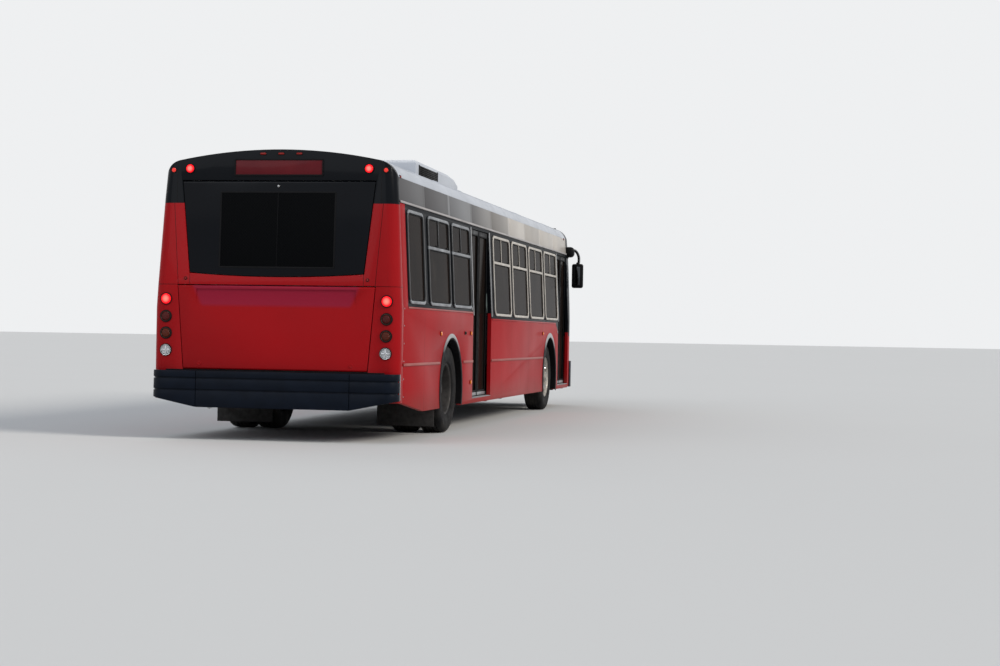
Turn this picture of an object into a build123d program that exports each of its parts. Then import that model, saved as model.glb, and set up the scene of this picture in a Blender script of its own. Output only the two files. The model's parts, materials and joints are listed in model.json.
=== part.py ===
from build123d import *
import math
import os

# City bus, twelve metres long, with a low floor, two doors and its engine at the rear.
# X runs across the bus and the doors are on the -X side. -Y is the front and +Z is up.
# The origin is on the road, at the middle of the bus. All sizes are in millimetres.

os.makedirs("parts", exist_ok=True)

# Body shell
LENGTH = 12200.0            # over the bumpers
WIDTH = 2590.0              # over the side panels
ROOF_Z = 2960.0             # crown of the roof
SKIRT_Z = 294.0             # lower edge of the side panels
SKIRT_END_Z = 407.0         # the same edge at the rear end, after its slant
SKIRT_SLANT = 960.0         # length of the slant
LEAN_Z = 1340.0             # height where the sides start to lean in
RAIL_DROP = 525.0           # drip rail over the windows, below the crown
COVE_DROP = 270.0           # joint between the cove panels and the roof, below the crown
SHOULDER_DROP = 110.0       # where the roof's corner meets its crown
SHOULDER_IN = 235.0         # the same place, in from the side panels
BULGE_OUT = 103.0           # roundest point of the roof's corner, from the shoulder
BULGE_DROP = 60.0
RAIL_LEAN = 58.0            # lean of the side at the drip rail
COVE_LEAN = 76.0            # lean of the side at the cove joint
WALL = 50.0
ROOF_WALL = 40.0
FIT = 0.3                   # clearance between seated pieces
RUN_FIT = 0.05              # radial clearance of a pin in its bore
SEAM = 8.0                  # open seam around every moving panel
FRONT_PROUD = 60.0          # front bumper beyond the front panel
REAR_PROUD = 80.0           # rear bumper beyond the rear panel
FRONT_CAP = 380.0           # length of the moulded front end
REAR_CAP = 170.0            # length of the moulded rear end
CORNER_R = 110.0            # rear corners
REAR_LEAN_Z = 1580.0        # height where the rear face starts to lean
REAR_LEAN = 57.0            # lean of the rear face at the roof

# Running gear
TYRE_R = 495.0
TYRE_W = 284.0
RIM_R = 285.7
FRONT_TRACK_IN = 188.0      # middle of a front tyre, in from the side panels
REAR_TRACK_IN = 175.0       # middle of an outer rear tyre, in from the side panels
DUAL_SPACING = 326.0        # between the middles of twin tyres
REAR_OVERHANG = 2540.0      # rear panel to rear axle
FRONT_OVERHANG = 2300.0     # front panel to front axle
KINGPIN_IN = 102.0          # kingpin, in from the middle of its tyre
KINGPIN_R = 24.0
ARCH_FRONT_R = 590.0
ARCH_REAR_R = 570.0

# Doors
DOOR_SILL_Z = 350.0
DOOR_HEAD_DROP = 40.0       # head of the doorways below the drip rail
REAR_DOOR_FROM_REAR = 3780.0
REAR_DOOR_W = 1170.0
FRONT_DOOR_W = 1070.0
DOOR_IN = 67.0              # outer face of a closed leaf, in from the side panels
LEAF_T = 36.0
LEAF_BORDER = 58.0
GLASS_T = 8.0
PIVOT_R = 8.0               # hinge pins of the rear panels

# Floor
FLOOR_Z = 360.0
FLOOR_T = 40.0
STEP_Z = 570.0              # tread of the step up to the rear platform
PLATFORM_Z = 780.0
DECK_Z = 1290.0             # top of the engine housing behind the last seats
HOUSE_T = 25.0              # wheelhouse wall
HOUSE_FRONT_WIDE = 655.0    # wheelhouses, in from the cabin's wall
HOUSE_REAR_WIDE = 645.0
HOUSE_FRONT_HALF = 640.0
HOUSE_REAR_HALF = 615.0
HOUSE_FRONT_Z = 1040.0
HOUSE_REAR_Z = 1075.0

# Places that follow from the sizes above
HALF = WIDTH / 2
CABIN_HALF = HALF - WALL
RAIL_Z = ROOF_Z - RAIL_DROP
COVE_Z = ROOF_Z - COVE_DROP
SHOULDER_Z = ROOF_Z - SHOULDER_DROP
SHOULDER_HALF = HALF - SHOULDER_IN
FRONT_TRACK_X = HALF - FRONT_TRACK_IN
REAR_OUTER_X = HALF - REAR_TRACK_IN
KINGPIN_X = FRONT_TRACK_X - KINGPIN_IN
DOOR_HEAD_Z = RAIL_Z - DOOR_HEAD_DROP
DOOR_X = HALF - DOOR_IN
HOUSE_FRONT_X = CABIN_HALF - HOUSE_FRONT_WIDE
HOUSE_REAR_X = CABIN_HALF - HOUSE_REAR_WIDE
REAR_Y = LENGTH / 2 - REAR_PROUD
FRONT_Y = -LENGTH / 2 + FRONT_PROUD
REAR_CAP_Y = REAR_Y - REAR_CAP
FRONT_CAP_Y = FRONT_Y + FRONT_CAP
REAR_AXLE_Y = REAR_Y - REAR_OVERHANG
FRONT_AXLE_Y = FRONT_Y + FRONT_OVERHANG
REAR_INNER_X = REAR_OUTER_X - DUAL_SPACING
LEAN = math.atan2(RAIL_LEAN, RAIL_Z - LEAN_Z)
DOORS = {
    # name: (aft edge, fore edge) of the opening
    "rear_door": (REAR_Y - REAR_DOOR_FROM_REAR, REAR_Y - REAR_DOOR_FROM_REAR - REAR_DOOR_W),
    "front_door": (FRONT_CAP_Y + 30 + FRONT_DOOR_W, FRONT_CAP_Y + 30),
}

# Windows
FRAME_W = 32.0              # sight width of the aluminium frames
FRAME_T = 9.0               # frames stand this far off the skin
FRAME_CUT = 30.0            # cut corner of a frame
LAP = 20.0                  # frame laps over the edge of its opening
PANE_T = 6.0
WINDOW_HEAD_Z = RAIL_Z - 50
REAR_SILL_Z = 1418.0
FRONT_SILL_Z = 1358.0
TRANSOM_Z = WINDOW_HEAD_Z - 345
PILLAR = 160.0              # between the frames in the front section
FIXED_AHEAD = 410.0         # rearmost frame, ahead of the rear panel
FIXED_W = 760.0
SECOND_AHEAD = 1370.0
SECOND_W = 1100.0
THIRD_AHEAD = 2610.0
THIRD_W = 1050.0
FRONT_ROW_AFT = 210.0       # first frame ahead of the rear doorway
FRONT_ROW_FORE = 90.0       # last frame behind the front doorway
FRONT_PANES = 4
DRIVER_PANE_AFT = 130.0     # driver's frame behind the moulded front end


def half_width(z):
    """Half the body's outer width at height z."""
    if z <= LEAN_Z:
        return HALF
    if z <= RAIL_Z:
        return HALF - RAIL_LEAN * (z - LEAN_Z) / (RAIL_Z - LEAN_Z)
    return HALF - RAIL_LEAN - (COVE_LEAN - RAIL_LEAN) * (z - RAIL_Z) / (COVE_Z - RAIL_Z)


def body_face(inset, low_z):
    """The body's whole cross-section, drawn in by inset, from low_z up to the roof."""
    turn = math.radians(40)
    cove = (half_width(COVE_Z) - inset, COVE_Z)
    bulge = (
        SHOULDER_HALF + BULGE_OUT - inset * math.cos(turn),
        SHOULDER_Z - BULGE_DROP - inset * math.sin(turn),
    )
    shoulder = (SHOULDER_HALF - inset * 0.35, SHOULDER_Z - inset)
    heights = [low_z] + [z for z in (LEAN_Z, RAIL_Z) if z > low_z]
    side = [(half_width(z) - inset, z) for z in heights] + [cove]
    with BuildSketch() as face:
        with BuildLine():
            Polyline(*side)
            ThreePointArc(cove, bulge, shoulder)
            ThreePointArc(shoulder, (0, ROOF_Z - inset), (-shoulder[0], shoulder[1]))
            ThreePointArc((-shoulder[0], shoulder[1]), (-bulge[0], bulge[1]), (-cove[0], cove[1]))
            Polyline(*[(-x, z) for x, z in reversed(side)])
            Line((-side[0][0], low_z), (side[0][0], low_z))
        make_face()
    return face.sketch


def across(y):
    """The upright plane across the bus at y, facing forwards."""
    return Plane.XZ.offset(-y)


def pane_plane(side):
    """The leaning plane of a side's windows: local x is side * Y and local y runs up the slope."""
    return Plane(
        origin=(side * HALF, 0, LEAN_Z),
        x_dir=(0, side, 0),
        z_dir=(side * math.cos(LEAN), 0, math.sin(LEAN)),
    )


def up_slope(z):
    """Distance up the leaning plane at height z."""
    return (z - LEAN_Z) / math.cos(LEAN)


def window_table(side):
    """Rows of (aft y, fore y, sill z, slider) for the windows of one side."""
    rear = [
        (REAR_Y - ahead, REAR_Y - ahead - wide, REAR_SILL_Z, slider)
        for ahead, wide, slider in (
            (FIXED_AHEAD, FIXED_W, False),
            (SECOND_AHEAD, SECOND_W, True),
            (THIRD_AHEAD, THIRD_W, True),
        )
    ]
    start = DOORS["rear_door"][1] - FRONT_ROW_AFT
    end = DOORS["front_door"][0] + FRONT_ROW_FORE
    pitch = (start - end + PILLAR) / FRONT_PANES
    front = [
        (start - i * pitch, start - (i + 1) * pitch + PILLAR, FRONT_SILL_Z, True)
        for i in range(FRONT_PANES)
    ]
    if side < 0:
        return rear + front
    middle = [(DOORS["rear_door"][0] + 40, start + PILLAR, FRONT_SILL_Z, True)]
    driver = [(end - PILLAR, FRONT_CAP_Y + DRIVER_PANE_AFT, FRONT_SILL_Z, True)]
    return rear + middle + front + driver


# Side walls with their windows, wheel arches and doorways cut, then the frames and the glass
for side_name, side in (("right", -1), ("left", 1)):
    windows = window_table(side)
    with BuildPart() as wall:
        with BuildSketch(across(REAR_CAP_Y)):
            with BuildLine():
                Polyline(
                    (side * HALF, SKIRT_Z),
                    (side * HALF, LEAN_Z),
                    (side * half_width(RAIL_Z), RAIL_Z),
                    (side * (half_width(RAIL_Z) - WALL), RAIL_Z),
                    (side * (HALF - WALL), LEAN_Z),
                    (side * (HALF - WALL), SKIRT_Z),
                    close=True,
                )
            make_face()
        extrude(amount=REAR_CAP_Y - FRONT_CAP_Y)
        with BuildSketch(pane_plane(side)):
            for aft, fore, sill, slider in windows:
                middle = (up_slope(sill) + up_slope(WINDOW_HEAD_Z)) / 2
                height = up_slope(WINDOW_HEAD_Z) - up_slope(sill) - 2 * LAP
                with Locations((side * (aft + fore) / 2, middle)):
                    Rectangle(aft - fore - 2 * LAP, height)
        extrude(amount=WALL * 2, both=True, mode=Mode.SUBTRACT)
        with BuildSketch(Plane.YZ.offset(side * HALF)):
            for axle_y, arch_r in ((FRONT_AXLE_Y, ARCH_FRONT_R), (REAR_AXLE_Y, ARCH_REAR_R)):
                with Locations((axle_y, TYRE_R)):
                    Circle(arch_r)
            if side < 0:
                for aft, fore in DOORS.values():
                    with Locations(((aft + fore) / 2, (DOOR_SILL_Z + DOOR_HEAD_Z) / 2)):
                        Rectangle(aft - fore, DOOR_HEAD_Z - DOOR_SILL_Z)
            with BuildLine():
                Polyline(
                    (REAR_CAP_Y - SKIRT_SLANT, SKIRT_Z),
                    (REAR_CAP_Y, SKIRT_END_Z),
                    (REAR_CAP_Y, SKIRT_Z),
                    close=True,
                )
            make_face()
        extrude(amount=WALL * 3, both=True, mode=Mode.SUBTRACT)
    wall.part.label = f"{side_name}_side"
    export_step(wall.part, f"parts/{side_name}_side.step")

with BuildPart() as window_frames:
    for side in (-1, 1):
        with BuildSketch(pane_plane(side)):
            for aft, fore, sill, slider in window_table(side):
                low, high = up_slope(sill), up_slope(WINDOW_HEAD_Z)
                wide, tall = aft - fore, high - low
                middle_y = side * (aft + fore) / 2
                with Locations((middle_y, (low + high) / 2)):
                    ring = Rectangle(wide, tall)
                    chamfer(ring.vertices(), FRAME_CUT)
                    Rectangle(wide - 2 * FRAME_W, tall - 2 * FRAME_W, mode=Mode.SUBTRACT)
                if slider:
                    with Locations((middle_y, up_slope(TRANSOM_Z))):
                        Rectangle(wide - FRAME_W, FRAME_W)
                    with Locations((middle_y, (up_slope(TRANSOM_Z) + high - FRAME_W) / 2)):
                        Rectangle(FRAME_W, high - FRAME_W - up_slope(TRANSOM_Z))
        extrude(amount=FRAME_T)
window_frames.part.label = "window_frames"
export_step(window_frames.part, "parts/window_frames.step")

with BuildPart() as side_glass:
    for side in (-1, 1):
        with BuildSketch(pane_plane(side)):
            for aft, fore, sill, slider in window_table(side):
                low, high = up_slope(sill), up_slope(WINDOW_HEAD_Z)
                edge = 2 * (LAP + FIT)
                with Locations((side * (aft + fore) / 2, (low + high) / 2)):
                    Rectangle(aft - fore - edge, high - low - edge)
        extrude(amount=-PANE_T)
side_glass.part.label = "side_glass"
export_step(side_glass.part, "parts/side_glass.step")

# Cove panels over the windows, scored where two panels meet
COVE_PITCH = 1290.0
SCORE_W = 6.0
SCORE_DEEP = 3.0
with BuildPart() as cove_panels:
    for side in (-1, 1):
        with BuildSketch(across(REAR_CAP_Y)):
            with BuildLine():
                Polyline(
                    (side * half_width(RAIL_Z), RAIL_Z),
                    (side * half_width(COVE_Z), COVE_Z),
                    (side * (half_width(COVE_Z) - ROOF_WALL), COVE_Z),
                    (side * (half_width(RAIL_Z) - ROOF_WALL), RAIL_Z),
                    close=True,
                )
            make_face()
        extrude(amount=REAR_CAP_Y - FRONT_CAP_Y)
        scores = int((REAR_CAP_Y - FRONT_CAP_Y) // COVE_PITCH)
        for i in range(scores):
            with BuildSketch(across(REAR_CAP_Y - COVE_PITCH * (i + 0.9))):
                with BuildLine():
                    Polyline(
                        (side * half_width(RAIL_Z), RAIL_Z),
                        (side * half_width(COVE_Z), COVE_Z),
                        (side * (half_width(COVE_Z) - SCORE_DEEP), COVE_Z),
                        (side * (half_width(RAIL_Z) - SCORE_DEEP), RAIL_Z),
                        close=True,
                    )
                make_face()
            extrude(amount=SCORE_W, mode=Mode.SUBTRACT)
cove_panels.part.label = "cove_panels"
export_step(cove_panels.part, "parts/cove_panels.step")

# Roof shell with an upstand and two hinge lugs under each escape hatch. The skin is laid in panels that
# meet beside and between the hatches, and each upstand is a frame of four bars.
HATCH_W = 640.0
HATCH_T = 26.0
CURB = 60.0                 # width of the lid's edge over the upstand
CURB_HALF = HATCH_W / 2 - 5 # half the outer width of the upstand
CURB_TOP = ROOF_Z + 22
ROD_R = 8.0
ROD_OFF = 26.0              # hinge rod behind the hatch's edge
LUG_X = 215.0
LUG_W = 22.0
REAR_HATCH_AHEAD = 7600.0   # middles of the escape hatches, ahead of the rear panel
FRONT_HATCH_AHEAD = 10100.0
HATCH_YS = (REAR_Y - REAR_HATCH_AHEAD, REAR_Y - FRONT_HATCH_AHEAD)
ROD_Z = CURB_TOP + 1 + HATCH_T / 2
with BuildPart() as roof:
    with BuildSketch(across(REAR_CAP_Y)):
        add(body_face(0, RAIL_Z))
        add(body_face(ROOF_WALL, RAIL_Z - ROOF_WALL), mode=Mode.SUBTRACT)
        with Locations((0, COVE_Z - RAIL_Z / 2)):
            Rectangle(2 * WIDTH, RAIL_Z, mode=Mode.SUBTRACT)
    extrude(amount=REAR_CAP_Y - FRONT_CAP_Y)
    for y in HATCH_YS:
        with BuildSketch(Plane.XY.offset(ROOF_Z - ROOF_WALL)):
            with Locations((0, y)):
                Rectangle(2 * CURB_HALF, 2 * CURB_HALF)
        extrude(amount=CURB_TOP - ROOF_Z + ROOF_WALL)
        with BuildSketch(Plane.XY.offset(ROOF_Z - 2 * ROOF_WALL)):
            with Locations((0, y)):
                Rectangle(HATCH_W - 2 * CURB, HATCH_W - 2 * CURB)
        extrude(amount=4 * ROOF_WALL, mode=Mode.SUBTRACT)
        for lug_x in (-LUG_X, LUG_X):
            with BuildSketch(Plane.YZ.offset(lug_x - LUG_W / 2)):
                lug_low = ROOF_Z - ROOF_WALL / 2
                with Locations((y + HATCH_W / 2 + ROD_OFF, (ROD_Z + ROD_R + lug_low) / 2)):
                    Rectangle(4 * ROD_R, ROD_Z + ROD_R - lug_low)
            extrude(amount=LUG_W)
    with BuildSketch(Plane.XY.offset(COVE_Z)):
        with Locations((-CURB_HALF, 0), (CURB_HALF, 0)):
            Rectangle(FIT, 2 * LENGTH)
        for y in HATCH_YS:
            for joint in (CURB_HALF, HATCH_W / 2 - CURB):
                with Locations((0, y - joint), (0, y + joint)):
                    Rectangle(2 * CURB_HALF, FIT)
    extrude(amount=2 * (ROOF_Z - COVE_Z), mode=Mode.SUBTRACT)
roof.part.label = "roof"
export_step(roof.part, "parts/roof.step")

for name, y in zip(("rear_roof_hatch", "front_roof_hatch"), HATCH_YS):
    with BuildPart() as hatch:
        with BuildSketch(Plane.XY.offset(CURB_TOP + 1)):
            with Locations((0, y)):
                lid = Rectangle(HATCH_W, HATCH_W)
                chamfer(lid.vertices(), CURB / 2)
            with Locations((0, y + HATCH_W / 2)):
                Rectangle(2 * LUG_X - LUG_W - 2 * SEAM, 2 * ROD_OFF)
        extrude(amount=HATCH_T)
        with BuildSketch(Plane.YZ.offset(-LUG_X + LUG_W / 2 + FIT)):
            with Locations((y + HATCH_W / 2 + ROD_OFF, ROD_Z)):
                Circle(ROD_R)
        extrude(amount=2 * LUG_X - LUG_W - 2 * FIT)
    hatch.part.label = name
    export_step(hatch.part, f"parts/{name}.step")

# Low equipment housing on the roof, above the engine
UNIT_AHEAD = 2350.0         # ahead of the rear panel
UNIT_LONG = 2350.0
UNIT_HALF = 880.0
UNIT_RISE = 130.0           # over the crown of the roof
UNIT_EDGE = 50.0
UNIT_REAR_Y = REAR_Y - UNIT_AHEAD
UNIT_FRONT_Y = UNIT_REAR_Y - UNIT_LONG
UNIT_Z = ROOF_Z + UNIT_RISE
with BuildPart() as roof_unit:
    with BuildSketch(Plane.YZ.offset(-UNIT_HALF)):
        with BuildLine():
            Polyline(
                (UNIT_REAR_Y, ROOF_Z - 120),
                (UNIT_REAR_Y - 60, UNIT_Z - 40),
                (UNIT_REAR_Y - 180, UNIT_Z),
                (UNIT_FRONT_Y + 420, UNIT_Z - 10),
                (UNIT_FRONT_Y, ROOF_Z + 10),
                (UNIT_FRONT_Y, ROOF_Z - 120),
                close=True,
            )
        make_face()
    extrude(amount=2 * UNIT_HALF)
    chamfer(roof_unit.faces().sort_by(Axis.X)[0].edges().group_by(Axis.Z)[-1], UNIT_EDGE)
    chamfer(roof_unit.faces().sort_by(Axis.X)[-1].edges().group_by(Axis.Z)[-1], UNIT_EDGE)
    with BuildSketch(across(UNIT_REAR_Y + 100)):
        add(body_face(-FIT, RAIL_Z))
    extrude(amount=UNIT_REAR_Y - UNIT_FRONT_Y + 200, mode=Mode.SUBTRACT)
roof_unit.part.label = "roof_unit"
export_step(roof_unit.part, "parts/roof_unit.step")

# Rear end: corner posts, header and lower surround, with openings for the two rear panels
HATCH_TOP_Z = 1572.0
HATCH_LOW_Z = 718.0
HATCH_TOP_HALF = 1035.0
HATCH_LOW_HALF = 965.0
HATCH_SCOOP_Z = 1370.0      # crease under the scoop at the hatch's top
HATCH_SCOOP_HALF = 840.0
HATCH_SCOOP_DEEP = 14.0
UPPER_TOP_Z = ROOF_Z - 324
UPPER_LOW_Z = 1704.0
UPPER_TOP_HALF = 1012.0
UPPER_LOW_HALF = 912.0
UPPER_BOW = 36.0            # sag of the upper door's lower edge in its middle
PANEL_T = 36.0
REAR_LOW_Z = 410.0
REAR_TILT = math.atan2(REAR_LEAN, ROOF_Z - REAR_LEAN_Z)
upper_plane = Plane(
    origin=(0, REAR_Y, REAR_LEAN_Z),
    x_dir=(-1, 0, 0),
    z_dir=(0, math.cos(REAR_TILT), math.sin(REAR_TILT)),
)
lower_plane = Plane(origin=(0, REAR_Y, 0), x_dir=(-1, 0, 0), z_dir=(0, 1, 0))


def up_rear(z):
    """Distance up the leaning rear face at height z."""
    return (z - REAR_LEAN_Z) / math.cos(REAR_TILT)


def panel_outline(low, low_half, high, high_half, bow, grow):
    """A panel narrower at its foot, whose lower edge sags by bow, grown by the seam around it."""
    with BuildSketch() as outline:
        with BuildLine():
            left, right = (-low_half - grow, low - grow), (low_half + grow, low - grow)
            if bow:
                ThreePointArc(left, (0, low - grow - bow), right)
            else:
                Line(left, right)
            Polyline(right, (high_half + grow, high + grow), (-high_half - grow, high + grow), left)
        make_face()
    return outline.sketch


def rear_body(inset, radius):
    """The closed rear end, drawn in by inset, with its rounded rear corners and leaning face."""
    with BuildPart() as body:
        with BuildSketch(across(REAR_Y - inset)):
            add(body_face(inset, REAR_LOW_Z - 2 * inset))
        extrude(amount=REAR_CAP)
        with BuildSketch(Plane.YZ.offset(-WIDTH)):
            with BuildLine():
                lean_foot = (REAR_Y - inset, REAR_LEAN_Z)
                rise = 2 * (ROOF_Z - REAR_LEAN_Z)
                Polyline(
                    lean_foot,
                    (REAR_Y - inset - rise * math.tan(REAR_TILT), REAR_LEAN_Z + rise),
                    (REAR_Y + REAR_CAP, REAR_LEAN_Z + rise),
                    (REAR_Y + REAR_CAP, REAR_LEAN_Z),
                    close=True,
                )
            make_face()
        extrude(amount=2 * WIDTH, mode=Mode.SUBTRACT)
        if radius:
            corners = body.edges().filter_by(GeomType.LINE)
            corners = corners.filter_by(lambda e: e.center().Y > REAR_Y - REAR_CAP / 2)
            corners = corners.filter_by(lambda e: abs((e @ 0 - e @ 1).Z) > radius)
            fillet(corners, radius)
    return body.part


with BuildPart() as rear_cap:
    add(rear_body(0, CORNER_R))
    add(rear_body(WALL, CORNER_R - WALL), mode=Mode.SUBTRACT)
    with BuildSketch(lower_plane):
        add(panel_outline(HATCH_LOW_Z, HATCH_LOW_HALF, HATCH_TOP_Z, HATCH_TOP_HALF, 0, SEAM))
    extrude(amount=WALL * 3, both=True, mode=Mode.SUBTRACT)
    with BuildSketch(upper_plane):
        low, high = up_rear(UPPER_LOW_Z), up_rear(UPPER_TOP_Z)
        add(panel_outline(low, UPPER_LOW_HALF, high, UPPER_TOP_HALF, UPPER_BOW, SEAM))
    extrude(amount=WALL * 1.5, both=True, mode=Mode.SUBTRACT)
rear_cap.part.label = "rear_cap"
export_step(rear_cap.part, "parts/rear_cap.step")

for name, plane, low, low_half, high, high_half, bow in (
    ("engine_hatch", lower_plane, HATCH_LOW_Z, HATCH_LOW_HALF, HATCH_TOP_Z, HATCH_TOP_HALF, 0),
    (
        "upper_rear_door",
        upper_plane,
        up_rear(UPPER_LOW_Z),
        UPPER_LOW_HALF,
        up_rear(UPPER_TOP_Z),
        UPPER_TOP_HALF,
        UPPER_BOW,
    ),
):
    with BuildPart() as panel:
        with BuildSketch(plane):
            add(panel_outline(low, low_half, high, high_half, bow, 0))
        extrude(amount=-PANEL_T)
        top_edges = panel.edges().filter_by(Axis.X).group_by(Axis.Z)[-2:]
        fillet(top_edges[0] + top_edges[1], PANEL_T / 2 - 0.2)
        axle = plane.from_local_coords((0, high - PANEL_T / 2, -PANEL_T / 2))
        flare = (high_half - low_half) / (high - low)
        reach = high_half + SEAM - FIT - (PANEL_T / 2 + SEAM + PIVOT_R) * flare
        pin = Plane(origin=(-reach, axle.Y, axle.Z), z_dir=(1, 0, 0))
        with BuildSketch(pin):
            Circle(PIVOT_R)
        extrude(amount=2 * reach)
        if name == "engine_hatch":
            with BuildSketch(Plane.YZ.offset(-HATCH_SCOOP_HALF)):
                with BuildLine():
                    Polyline(
                        (REAR_Y, HATCH_SCOOP_Z),
                        (REAR_Y - HATCH_SCOOP_DEEP, HATCH_TOP_Z - PANEL_T),
                        (REAR_Y + HATCH_SCOOP_DEEP, HATCH_TOP_Z - PANEL_T),
                        (REAR_Y + HATCH_SCOOP_DEEP, HATCH_SCOOP_Z),
                        close=True,
                    )
                make_face()
            extrude(amount=2 * HATCH_SCOOP_HALF, mode=Mode.SUBTRACT)
    panel.part.label = name
    export_step(panel.part, f"parts/{name}.step")

# Rear bumper in three modules with stepped ribs, wrapped round the corners of the rear end
BUMPER_LOW_Z = 330.0
BUMPER_CORNER_Z = 430.0
BUMPER_TOP_Z = 700.0
BUMPER_SEAM_X = 805.0
BUMPER_CORNER_R = 140.0
BUMPER_LAP = 70.0           # reach of the bumper's ends ahead of the rear panel
RIB_DEEP = 14.0
RIB_W = 16.0


def bumper_plan(inset):
    """The bumper from above, drawn in by inset, with its two rounded corners."""
    depth = REAR_PROUD + BUMPER_LAP
    with BuildSketch() as plan:
        with Locations((0, REAR_Y + REAR_PROUD - inset - depth / 2)):
            Rectangle(2 * (HALF - inset), depth)
        fillet(plan.vertices().group_by(Axis.Y)[-1], BUMPER_CORNER_R - inset)
    return plan.sketch


with BuildPart() as rear_bumper:
    with BuildSketch(Plane.XY.offset(BUMPER_LOW_Z)):
        add(bumper_plan(0))
    extrude(amount=BUMPER_TOP_Z - BUMPER_LOW_Z)
    for groove_z in (BUMPER_CORNER_Z + 75, BUMPER_TOP_Z - 75):
        with BuildSketch(Plane.XY.offset(groove_z - RIB_W / 2)):
            add(bumper_plan(0))
            add(bumper_plan(RIB_DEEP), mode=Mode.SUBTRACT)
        extrude(amount=RIB_W, mode=Mode.SUBTRACT)
    with BuildSketch(across(REAR_Y + REAR_PROUD + 1)):
        for side in (-1, 1):
            with BuildLine():
                Polyline(
                    (side * BUMPER_SEAM_X, BUMPER_LOW_Z),
                    (side * HALF, BUMPER_CORNER_Z),
                    (side * WIDTH, BUMPER_CORNER_Z),
                    (side * WIDTH, 0),
                    (side * BUMPER_SEAM_X, 0),
                    close=True,
                )
            make_face()
    extrude(amount=REAR_PROUD + REAR_CAP, mode=Mode.SUBTRACT)
    with BuildSketch(Plane.XY.offset(BUMPER_LOW_Z - 1)):
        for seam_x in (-BUMPER_SEAM_X, BUMPER_SEAM_X):
            with Locations((seam_x, REAR_Y + REAR_PROUD)):
                Rectangle(6, 40)
    extrude(amount=BUMPER_TOP_Z - BUMPER_LOW_Z + 2, mode=Mode.SUBTRACT)
    with BuildSketch(Plane.XY.offset(BUMPER_LOW_Z - 1)):
        with Locations((0, REAR_Y - REAR_CAP + FIT)):
            behind = Rectangle(2 * (HALF + FIT), 2 * REAR_CAP)
            fillet(behind.vertices().group_by(Axis.Y)[-1], CORNER_R + FIT)
    extrude(amount=BUMPER_TOP_Z, mode=Mode.SUBTRACT)
rear_bumper.part.label = "rear_bumper"
export_step(rear_bumper.part, "parts/rear_bumper.step")

# Front end: a curved mask around the windscreen and the destination sign
FRONT_LOW_Z = 310.0
FRONT_RAKE_Z = 1130.0       # height where the front starts to lean back
FRONT_RAKE = 230.0          # lean of the front at the roof
FRONT_BOW = 120.0           # bow of the front panel between its corners
FRONT_CORNER = 150.0
SCREEN_LOW_Z = 1150.0
SCREEN_HIGH_Z = ROOF_Z - 630
SCREEN_HALF = 1130.0
SIGN_LOW_Z = ROOF_Z - 550
SIGN_HIGH_Z = ROOF_Z - 220
SIGN_HALF = 800.0
SCREEN_POST = 40.0


def front_plan(inset, length):
    """The front end seen from above: a bowed front with rounded corners."""
    edge, nose = HALF - inset, FRONT_Y + inset
    with BuildSketch() as plan:
        with BuildLine():
            Line((-edge, nose + FRONT_BOW), (-edge, nose + length))
            Line((-edge, nose + length), (edge, nose + length))
            Line((edge, nose + length), (edge, nose + FRONT_BOW))
            ThreePointArc((edge, nose + FRONT_BOW), (0, nose), (-edge, nose + FRONT_BOW))
        make_face()
        fillet(plan.vertices().group_by(Axis.Y)[0], FRONT_CORNER - inset)
    return plan.sketch


def front_body(inset, low_z, length):
    """The closed front end, drawn in by inset."""
    with BuildPart() as body:
        with BuildSketch(Plane.XY.offset(low_z)):
            add(front_plan(inset, length))
        extrude(amount=ROOF_Z)
        with BuildSketch(across(FRONT_Y + inset + length)):
            add(body_face(inset, low_z))
        extrude(amount=FRONT_CAP * 3, mode=Mode.INTERSECT)
        with BuildSketch(Plane.YZ.offset(-WIDTH)):
            with BuildLine():
                foot = (FRONT_Y + inset, FRONT_RAKE_Z)
                slope = FRONT_RAKE / (ROOF_Z - FRONT_RAKE_Z)
                rise = 2 * (ROOF_Z - FRONT_RAKE_Z)
                Polyline(
                    foot,
                    (foot[0] + rise * slope, foot[1] + rise),
                    (foot[0] - FRONT_CAP, foot[1] + rise),
                    (foot[0] - FRONT_CAP, foot[1]),
                    close=True,
                )
            make_face()
        extrude(amount=2 * WIDTH, mode=Mode.SUBTRACT)
    return body.part


def screen_sketch(grow):
    """Outlines of the two windscreen panes, grown by a margin, as seen from the front."""
    with BuildSketch() as panes:
        for side in (-1, 1):
            wide = SCREEN_HALF - SCREEN_POST / 2
            with Locations((side * (SCREEN_POST / 2 + wide / 2), (SCREEN_LOW_Z + SCREEN_HIGH_Z) / 2)):
                Rectangle(wide + 2 * grow, SCREEN_HIGH_Z - SCREEN_LOW_Z + 2 * grow)
    return panes.sketch


def sign_sketch(half, low, high, grow):
    """Outline of a destination sign, grown by a margin."""
    with BuildSketch() as sign:
        with Locations((0, (low + high) / 2)):
            Rectangle(2 * (half + grow), high - low + 2 * grow)
    return sign.sketch


with BuildPart() as front_mask:
    add(front_body(0, FRONT_LOW_Z, FRONT_CAP))
    add(front_body(WALL, FRONT_LOW_Z - 2 * WALL, FRONT_CAP), mode=Mode.SUBTRACT)
    with BuildSketch(across(FRONT_CAP_Y - 60)):
        add(screen_sketch(0))
        add(sign_sketch(SIGN_HALF, SIGN_LOW_Z, SIGN_HIGH_Z, 0))
    extrude(amount=2 * FRONT_CAP, mode=Mode.SUBTRACT)
front_mask.part.label = "front_mask"
export_step(front_mask.part, "parts/front_mask.step")

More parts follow.
